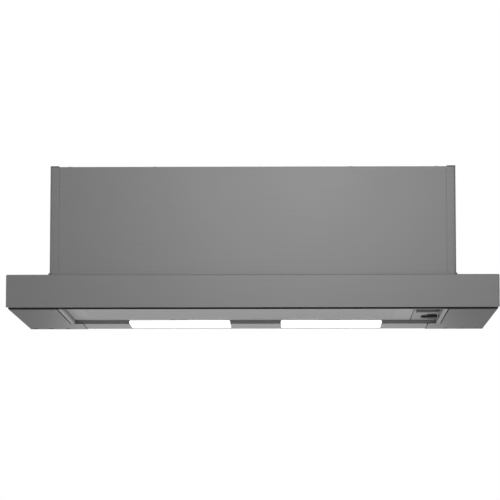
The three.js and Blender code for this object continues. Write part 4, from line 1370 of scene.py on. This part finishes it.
@dataclass
class GreaseFilter(Assembly):
    """The visor's filter: folded frame, layered mesh and two latches."""

    long_way: float = 6 * MM
    short_way: float = 3 * MM
    strand: float = 0.38 * MM
    strand_room: float = 0.05 * MM
    backing_depth: float = 1.0 * MM

    def build(self) -> None:
        """Dress the frame and latches, and weave the mesh over a backing layer darkened as painted shade."""
        self.shop.soften("filter_frame", "sheet", MATTE_ANODISED, edge_mm=0.35)
        for side in SIDES:
            self.shop.soften(f"filter_latch_{side}", "slide", ANODISED, edge_mm=0.5, steps=3)
        low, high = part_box("filter_mesh")
        width, depth = high.x - low.x, high.y - low.y
        # The backing is darker than the strands as painted shade between the mesh layers.
        backing = object_from("filter_backing", block((low.x, low.y, low.z + self.backing_depth), high))
        self.shop.seat(backing, MESH_PACK_SHADED, "filter", "filter_mesh")
        self.shop.weave("filter_strands", "filter", {
            "Width": width,
            "Depth": depth,
            "Long Way": 2 * width / round(2 * width / self.long_way),
            "Short Way": depth / round(depth / self.short_way),
            "Strand": self.strand,
            "Place": (low.x, low.y, low.z + self.strand + self.strand_room),
        })


@dataclass
class Controls(Assembly):
    """Control plate at the visor's right end, with the light rocker and the speed knob."""

    grooves: int = 5
    groove_width: float = 0.6 * MM
    groove_depth: float = 0.5 * MM
    groove_inset: float = 1.5 * MM
    blade_x: float = 7 * MM
    blade_thickness: float = 0.8 * MM
    blade_width: float = 4.8 * MM
    blade_height: float = 6 * MM
    blade_insets: tuple[float, float] = (15 * MM, 30 * MM)

    def build(self) -> None:
        """Dress the plate, the switches and the box above them."""
        self.shop.soften("control_plate", "moulding", GREY_ABS, edge_mm=0.4)
        self.shop.soften("light_rocker", "moulding", CHARCOAL_ABS, edge_mm=0.6, steps=3)
        self.shop.soften("slider_bezel", "moulding", BLACK_ABS, edge_mm=0.4)
        knob = self.shop.soften("speed_slider", "knob", BLACK_ABS, edge_mm=0.5, steps=3)
        pierce(knob, self.knob_grooves())
        self.shop.soften("switch_box", "moulding", BLACK_ABS, edge_mm=0.8)
        self.terminals()

    def knob_grooves(self) -> list[Mesh]:
        """Shape the cutters of the grooves that the thumb pushes against.

        Returns:
            A cutter for each groove.
        """
        low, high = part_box("speed_slider")
        pitch, half = (high.x - low.x) / (self.grooves + 1), self.groove_width / 2
        return [
            block(
                (low.x + k * pitch - half, low.y + self.groove_inset, low.z - PAST),
                (low.x + k * pitch + half, high.y - self.groove_inset, low.z + self.groove_depth),
            )
            for k in range(1, self.grooves + 1)
        ]

    def terminals(self) -> None:
        """Stand a row of blade terminals on the switch box."""
        low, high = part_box("switch_box")
        near, far = self.blade_insets
        middle, half = (low.x + high.x) / 2, self.blade_thickness / 2
        blades = [
            block((x - half, y, high.z - PAST), (x + half, y + self.blade_width, high.z + self.blade_height))
            for x in (middle - self.blade_x, middle + self.blade_x)
            for y in (low.y + near, low.y + far, high.y - far, high.y - near)
        ]
        self.shop.seat(object_from("switch_terminals", gathered(blades)), BRIGHT_STEEL, "visor")


@dataclass
class Blower(Assembly):
    """Wheel, scroll and motor inside the body."""

    blades: int = 40
    blade_depth: float = 9 * MM
    blade_inset: float = 1.0 * MM
    disc: float = 1.8 * MM
    hub_radius: float = 10 * MM
    hub_length: float = 26 * MM
    hub_chamfer: float = 2 * MM
    bore: float = 4.35 * MM
    boss_length: float = 8 * MM
    vents: int = 12
    vent_width: float = 4 * MM
    vent_depth: float = 3 * MM
    vent_reach: tuple[float, float] = (21 * MM, 32 * MM)
    cheek_rings: tuple[float, float] = (48.5 * MM, 48.7 * MM)  # left and right
    cheek_turns: tuple[float, ...] = (110, 160, 210, 260, 310, 350)
    bracket_ring: float = 42 * MM
    bracket_turns: tuple[float, ...] = (45, 135, 225, 315)

    def build(self) -> None:
        """Dress the scroll and motor, and set the wheel's blades."""
        self.shop.soften("scroll_wrap", "sheet", ZINC)
        for side in SIDES:
            self.shop.soften(f"scroll_cheek_{side}", "sheet", ZINC)
        self.shop.soften("inlet_ring", "moulding", BLACK_ABS, edge_mm=1.2, steps=3)
        self.shop.keep(ZINC, "motor_bracket")
        self.shop.keep(BRIGHT_STEEL, "motor_shaft")
        self.wheel()
        self.motor()
        self.seams()

    def axis(self) -> Vector:
        """A point on the wheel's axis, in the middle of the hood."""
        low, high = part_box("impeller")
        return Vector((0.0, (low.y + high.y) / 2, (low.z + high.z) / 2))

    def wheel(self) -> None:
        """Turn the wheel's disc, hub and rim, and set the blades, which end inside both."""
        low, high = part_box("impeller")
        radius, left, right = (high.z - low.z) / 2, low.x, high.x
        inner, face, hub = radius - self.blade_depth, right - self.disc, self.hub_radius
        disc = [
            (self.bore, right - self.hub_length), (hub, right - self.hub_length),
            (hub, face - self.hub_chamfer), (hub + self.hub_chamfer, face),
            (radius, face), (radius, right), (self.bore, right),
        ]
        rim = [(inner, left), (radius, left), (radius, left + self.disc), (inner, left + self.disc)]
        for name, profile in (("impeller_disc", disc), ("impeller_rim", rim)):
            piece = object_from(name, turned(profile, self.axis(), "x"))
            self.shop.seat(piece, ZINC, "rotor", "impeller")
        blades = grow("impeller_blades", self.shop.blade_tree, {
            "Blades": self.blades,
            "Inner Radius": inner,
            "Outer Radius": radius - self.blade_inset,
            "Width": right - left - 1.5 * self.disc,
            "Place": self.axis(),
            "Material": ZINC.build(),
        })
        shade(blades)
        self.shop.seat(blades, ZINC, "rotor", "impeller")

    def motor(self) -> None:
        """Round the motor's can and open the cooling vents of its end."""
        can = self.shop.soften("motor", "can", ZINC, edge_mm=1.6, steps=3)
        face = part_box("motor")[1].x - self.boss_length
        half, (near, far) = self.vent_width / 2, self.vent_reach
        cutters = []
        for k in range(self.vents):
            bm = block((face - self.vent_depth, -half, near), (face + PAST, half, far))
            turn = Matrix.Rotation(2 * math.pi * k / self.vents, 4, "X")
            bmesh.ops.transform(bm, matrix=Matrix.Translation(self.axis()) @ turn, verts=bm.verts)
            cutters.append(bm)
        pierce(can, cutters)

    def ring(self, x: float, radius: float, turns: Sequence[float]) -> list[Vector]:
        """Places round the axis.

        Args:
            x: Where the circle stands on the axis.
            radius: Its radius.
            turns: Angles in degrees from the wall side.

        Returns:
            One place for each angle.
        """
        angles = [math.radians(t) for t in turns]
        return [self.axis() + Vector((x, radius * math.cos(t), radius * math.sin(t))) for t in angles]

    def seams(self) -> None:
        """Rivet both cheeks and screw the motor's bracket down."""
        cheek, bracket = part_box("scroll_cheek_right")[1].x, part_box("motor_bracket")[1].x
        left, right = self.cheek_rings
        for name, head, x, radius, turns, facing in (
            ("cheek_left_rivets", RIVET, -cheek, left, self.cheek_turns, Facing.LEFT),
            ("cheek_right_rivets", RIVET, cheek, right, self.cheek_turns, Facing.RIGHT),
            ("bracket_screws", SCREW, bracket, self.bracket_ring, self.bracket_turns, Facing.RIGHT),
        ):
            self.shop.fasten(name, "housing", head, self.ring(x, radius, turns), facing)


@dataclass
class Outlet(Assembly):
    """Duct collar on the top, with its two damper flaps."""

    radius: float = 60 * MM
    flats: int = 128
    wall: float = 2 * MM
    flange: float = 9 * MM
    flange_height: float = 2 * MM
    edge: float = 0.6 * MM
    fillet: float = 1.2 * MM
    rib: float = 0.7 * MM
    rib_rises: tuple[float, ...] = (4 * MM, 8 * MM)
    rim_outer: float = 1.0 * MM
    rim_inner: float = 0.8 * MM
    stop: float = 3 * MM
    stop_height: float = 1.2 * MM
    stop_drop: float = 0.9 * MM
    pin_room: float = 6.5 * MM
    pin_drop: float = 5 * MM

    def collar(self, low: Vector, high: Vector, stop_top: float) -> Piece:
        """Turn the collar: a screwed flange, two ribs for the duct and a stop for the flaps.

        Args:
            low: The CAD collar's lowest corner.
            high: Its highest corner.
            stop_top: Height of the stop's upper face.

        Returns:
            The collar, parted where the pin crosses the stop.
        """
        bore, outer, edge = self.radius - self.wall, self.radius, self.edge
        reach, foot, tip = outer + self.flange, low.z + self.flange_height, bore - self.stop
        profile = [
            (bore, low.z), (reach, low.z), (reach, foot - edge), (reach - edge, foot),
            (outer + self.fillet, foot), (outer, foot + self.fillet),
        ]
        for rise in self.rib_rises:
            start = foot + rise
            profile += [(outer, start), (outer + self.rib, start + self.rib), (outer, start + 2 * self.rib)]
        profile += [
            (outer, high.z - self.rim_outer), (outer - edge, high.z),
            (bore + edge, high.z), (bore, high.z - self.rim_inner),
            (bore, stop_top), (tip, stop_top),
            (tip, stop_top - self.stop_height), (bore, stop_top - 2 * self.stop_height),
        ]
        y, room = (low.y + high.y) / 2, self.pin_room
        collar = object_from("outlet_collar_moulding", turned(profile, (0, y, 0), steps=self.flats))
        pierce(collar, [
            block((-bore, y - room, stop_top - self.pin_drop), (bore, y + room, stop_top + PAST))
        ])
        return collar

    def build(self) -> None:
        """Seat the collar with its screws, and dress the flaps on their pin."""
        low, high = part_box("outlet_collar")
        pin_low, pin_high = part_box("damper_pin")
        collar = self.collar(low, high, (pin_low.z + pin_high.z) / 2 - self.stop_drop)
        self.shop.seat(collar, BLACK_ABS, "housing", "outlet_collar")
        reach, y, z = self.radius + self.flange / 2, (low.y + high.y) / 2, low.z + self.flange_height
        turns = [math.pi / 4 + quarter * math.pi / 2 for quarter in range(4)]
        places = [(reach * math.cos(t), y + reach * math.sin(t), z) for t in turns]
        self.shop.fasten("collar_screws", "housing", SCREW, places)
        self.shop.keep(BRIGHT_STEEL, "damper_pin")
        for flap in ("front", "rear"):
            self.shop.soften(f"damper_flap_{flap}", "leaf", ZINC, edge_mm=0.2)


@dataclass
class Electrics(Assembly):
    """Terminal box, cable gland, capacitor, lamp driver and reed switch."""

    screw_inset: float = 6 * MM
    cable_bore: float = 4 * MM
    nut_height: float = 7 * MM
    nut_drop: float = 3 * MM
    cap_radius: float = 8.4 * MM
    cap_height: float = 3.2 * MM
    cap_dome: float = 1.2 * MM
    tail_radius: float = 8 * MM
    tail_lap: float = 0.2 * MM
    can_edge: float = 1.5 * MM
    can_lip: float = 1 * MM
    crimp: float = 1.2 * MM
    crimp_steps: tuple[float, ...] = (7 * MM, 6 * MM, 5 * MM, 4 * MM)
    strap_half: float = 6 * MM
    strap_room: float = 0.02 * MM
    strap_rise: float = 0.25 * MM

    def build(self) -> None:
        """Dress the electrical pieces."""
        self.shop.soften("terminal_box", "moulding", BLACK_ABS, edge_mm=0.8)
        self.shop.soften("terminal_cover", "moulding", BLACK_ABS, edge_mm=0.8)
        low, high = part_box("terminal_cover")
        inset = self.screw_inset
        xs, zs = (low.x + inset, high.x - inset), (low.z + inset, high.z - inset)
        places = [(x, low.y, z) for x in xs for z in zs]
        self.shop.fasten("terminal_screws", "housing", SCREW, places, Facing.COOK)
        self.gland()
        self.capacitor()
        self.shop.soften("led_driver", "case", GREY_ABS, edge_mm=1.0)
        self.shop.soften("reed_switch", "case", BLACK_ABS, edge_mm=0.5)

    def gland(self) -> None:
        """Turn the gland's hexagon, its domed cap and its tail, with the way for a cable."""
        low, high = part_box("cable_gland")
        centre = ((low.x + high.x) / 2, (low.y + high.y) / 2, 0)
        bore, radius, cap, tail = self.cable_bore, (high.x - low.x) / 2, self.cap_radius, self.tail_radius
        seat, lap = high.z - self.nut_height, high.z - self.nut_height + self.tail_lap
        nut_top, cap_foot, shoulder = high.z - self.nut_drop, high.z - self.cap_height, high.z - self.cap_dome
        profiles = (
            ("nut", 6, [(bore, seat), (radius, seat), (radius, nut_top), (bore, nut_top)]),
            ("cap", 48, [
                (bore, cap_foot), (cap, cap_foot), (cap, shoulder), (cap - self.cap_dome, high.z),
                (bore, high.z),
            ]),
            ("tail", 48, [(bore, low.z), (tail, low.z), (tail, lap), (bore, lap)]),
        )
        for name, steps, profile in profiles:
            piece = object_from(f"cable_gland_{name}", turned(profile, centre, steps=steps))
            self.shop.seat(piece, BLACK_ABS, "housing", "cable_gland")

    def capacitor(self) -> None:
        """Turn the capacitor's can with its crimped end, and strap it down."""
        low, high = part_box("run_capacitor")
        radius, y, z = (high.z - low.z) / 2, (low.y + high.y) / 2, (low.z + high.z) / 2
        first, second, third, last = (high.x - step for step in self.crimp_steps)
        edge, lip, waist, top = self.can_edge, self.can_lip, radius - self.crimp, high.x - self.can_lip
        can = [
            (0.0, low.x), (radius - edge, low.x), (radius, low.x + edge),
            (radius, first), (waist, second), (waist, third), (radius, last), (radius, top),
            (radius - lip, high.x), (radius - 2 * lip, top), (0.0, top),
        ]
        piece = object_from("run_capacitor_can", turned(can, (0.0, y, z), "x"))
        self.shop.seat(piece, ANODISED, "housing", "run_capacitor")
        half, under, over = self.strap_half, radius + self.strap_room, radius + self.strap_rise
        strap = [(under, -half), (over, -half), (over, half), (under, half)]
        centre = ((low.x + high.x) / 2, y, z)
        self.shop.seat(object_from("capacitor_strap", turned(strap, centre, "x")), ZINC, "housing")


# ---------------------------------------------------------------- studio
@dataclass(frozen=True)
class SoftLamp:
    """A square soft lamp, with its size in metres, its spread in degrees and its power in watts."""

    name: str
    place: tuple[float, float, float]
    size: float
    spread: float
    power: float

    def hang(self, aim: Vector) -> None:
        """Hang the lamp so that it faces a point.

        Args:
            aim: The point.
        """
        data = bpy.data.lights.new(self.name, "AREA")
        data.size, data.energy = self.size, self.power
        data.spread = math.radians(self.spread)
        lamp = bpy.data.objects.new(self.name, data)
        lamp.location = self.place
        lamp.rotation_euler = (aim - Vector(self.place)).to_track_quat("-Z", "Y").to_euler()
        bpy.context.scene.collection.objects.link(lamp)


@dataclass
class Studio:
    """Pale floor, soft light, white background and the camera."""

    floor_z: float = -0.75
    floor_reach: float = 6.0
    floor_colour: str = "E6E6E6"
    floor_roughness: float = 0.9
    floor_white: float = 0.9
    world_light: float = 0.6
    white: tuple[float, float, float, float] = (1.0, 1.0, 1.0, 1.0)
    focal_px: float = 2647.64
    sensor_mm: float = 36.0
    far_end: float = 50.0
    camera_at: tuple[float, float, float] = (0.0562, -3.3371, -0.3100)
    camera_turn: tuple[float, float, float] = (math.pi / 2 + 0.1185, -0.0003, 0.0185)
    lamps: tuple[SoftLamp, ...] = (
        SoftLamp("key", (0.07, -2.9, 0.6), 0.4, 180.0, 5.4),
        SoftLamp("top", (0.0, -1.0, 2.0), 1.1, 180.0, 8.0),
        SoftLamp("rear", (-0.055, 2.8, -0.25), 0.87, 70.0, 0.52),
        SoftLamp("under", (0.05, -0.2, -0.72), 1.2, 180.0, 0.6),
        SoftLamp("left", (-1.5, -0.7, -0.45), 0.6, 180.0, 17.0),
        SoftLamp("right", (1.5, -0.7, -0.45), 0.6, 180.0, 14.0),
    )
    aim: Vector = field(default_factory=lambda: Vector((0.0, 0.0, 0.09)))

    def build(self) -> None:
        """Set the stage, the world, the lamps and the camera."""
        self.floor()
        self.world()
        for lamp in self.lamps:
            lamp.hang(self.aim)
        self.camera()
        bpy.context.scene.view_settings.view_transform = "Standard"

    def floor(self) -> None:
        """Lay a plain pale floor that shows white in what metal reflects, as the world does."""
        bm = bmesh.new()
        bmesh.ops.create_grid(bm, x_segments=1, y_segments=1, size=self.floor_reach)
        bmesh.ops.translate(bm, vec=(0, 0, self.floor_z), verts=bm.verts)
        floor = object_from("floor", bm)
        material = bpy.data.materials.new("pale floor paint")
        material.use_nodes = True
        tree = material.node_tree
        tree.nodes.clear()
        paint = add_node(tree, "ShaderNodeBsdfPrincipled", {
            "Base Color": linear_from_hex(self.floor_colour), "Roughness": self.floor_roughness,
        })
        white = add_node(tree, "ShaderNodeEmission", {"Color": self.white, "Strength": self.floor_white})
        glossy = add_node(tree, "ShaderNodeLightPath").outputs["Is Glossy Ray"]
        mix = add_node(tree, "ShaderNodeMixShader", {0: glossy, 1: paint, 2: white})
        add_node(tree, "ShaderNodeOutputMaterial", {"Surface": mix})
        floor.data.materials.append(material)

    def world(self) -> None:
        """White for the camera and for reflections, and a plain level for the light it gives."""
        world = bpy.data.worlds.new("studio")
        bpy.context.scene.world = world
        world.use_nodes = True
        tree = world.node_tree
        tree.nodes.clear()
        ray = add_node(tree, "ShaderNodeLightPath").outputs
        direct = add_node(tree, "ShaderNodeMath", {
            "operation": "ADD", 0: ray["Is Camera Ray"], 1: ray["Is Glossy Ray"],
        })
        seen = add_node(tree, "ShaderNodeMath", {
            "operation": "ADD", 0: direct, 1: ray["Is Transmission Ray"],
        })
        light = add_node(tree, "ShaderNodeBackground", {"Color": self.white, "Strength": self.world_light})
        white = add_node(tree, "ShaderNodeBackground", {"Color": self.white, "Strength": 1.0})
        mix = add_node(tree, "ShaderNodeMixShader", {0: seen, 1: light, 2: white})
        add_node(tree, "ShaderNodeOutputWorld", {"Surface": mix})

    def camera(self) -> None:
        """Place the camera that the photograph was fitted with."""
        data = bpy.data.cameras.new("photograph")
        data.sensor_width = self.sensor_mm
        data.lens = self.focal_px * self.sensor_mm / PHOTO_PIXELS
        data.clip_end = self.far_end
        camera = bpy.data.objects.new("photograph", data)
        camera.location = self.camera_at
        camera.rotation_euler = self.camera_turn
        bpy.context.scene.collection.objects.link(camera)
        bpy.context.scene.camera = camera


def main() -> None:
    """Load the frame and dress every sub-assembly."""
    logging.basicConfig(level=logging.INFO, format="%(name)s: %(message)s")
    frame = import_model()
    Studio().build()
    shop = Workshop(frame)
    for kind in (
        UpperBody, Wings, Intake, Lamps, Facia, VisorFrame, GreaseFilter, Controls, Blower, Outlet, Electrics
    ):
        log.info("building %s", kind.__name__)
        kind(shop).build()
    shop.clear()


if __name__ == "__main__":
    main()
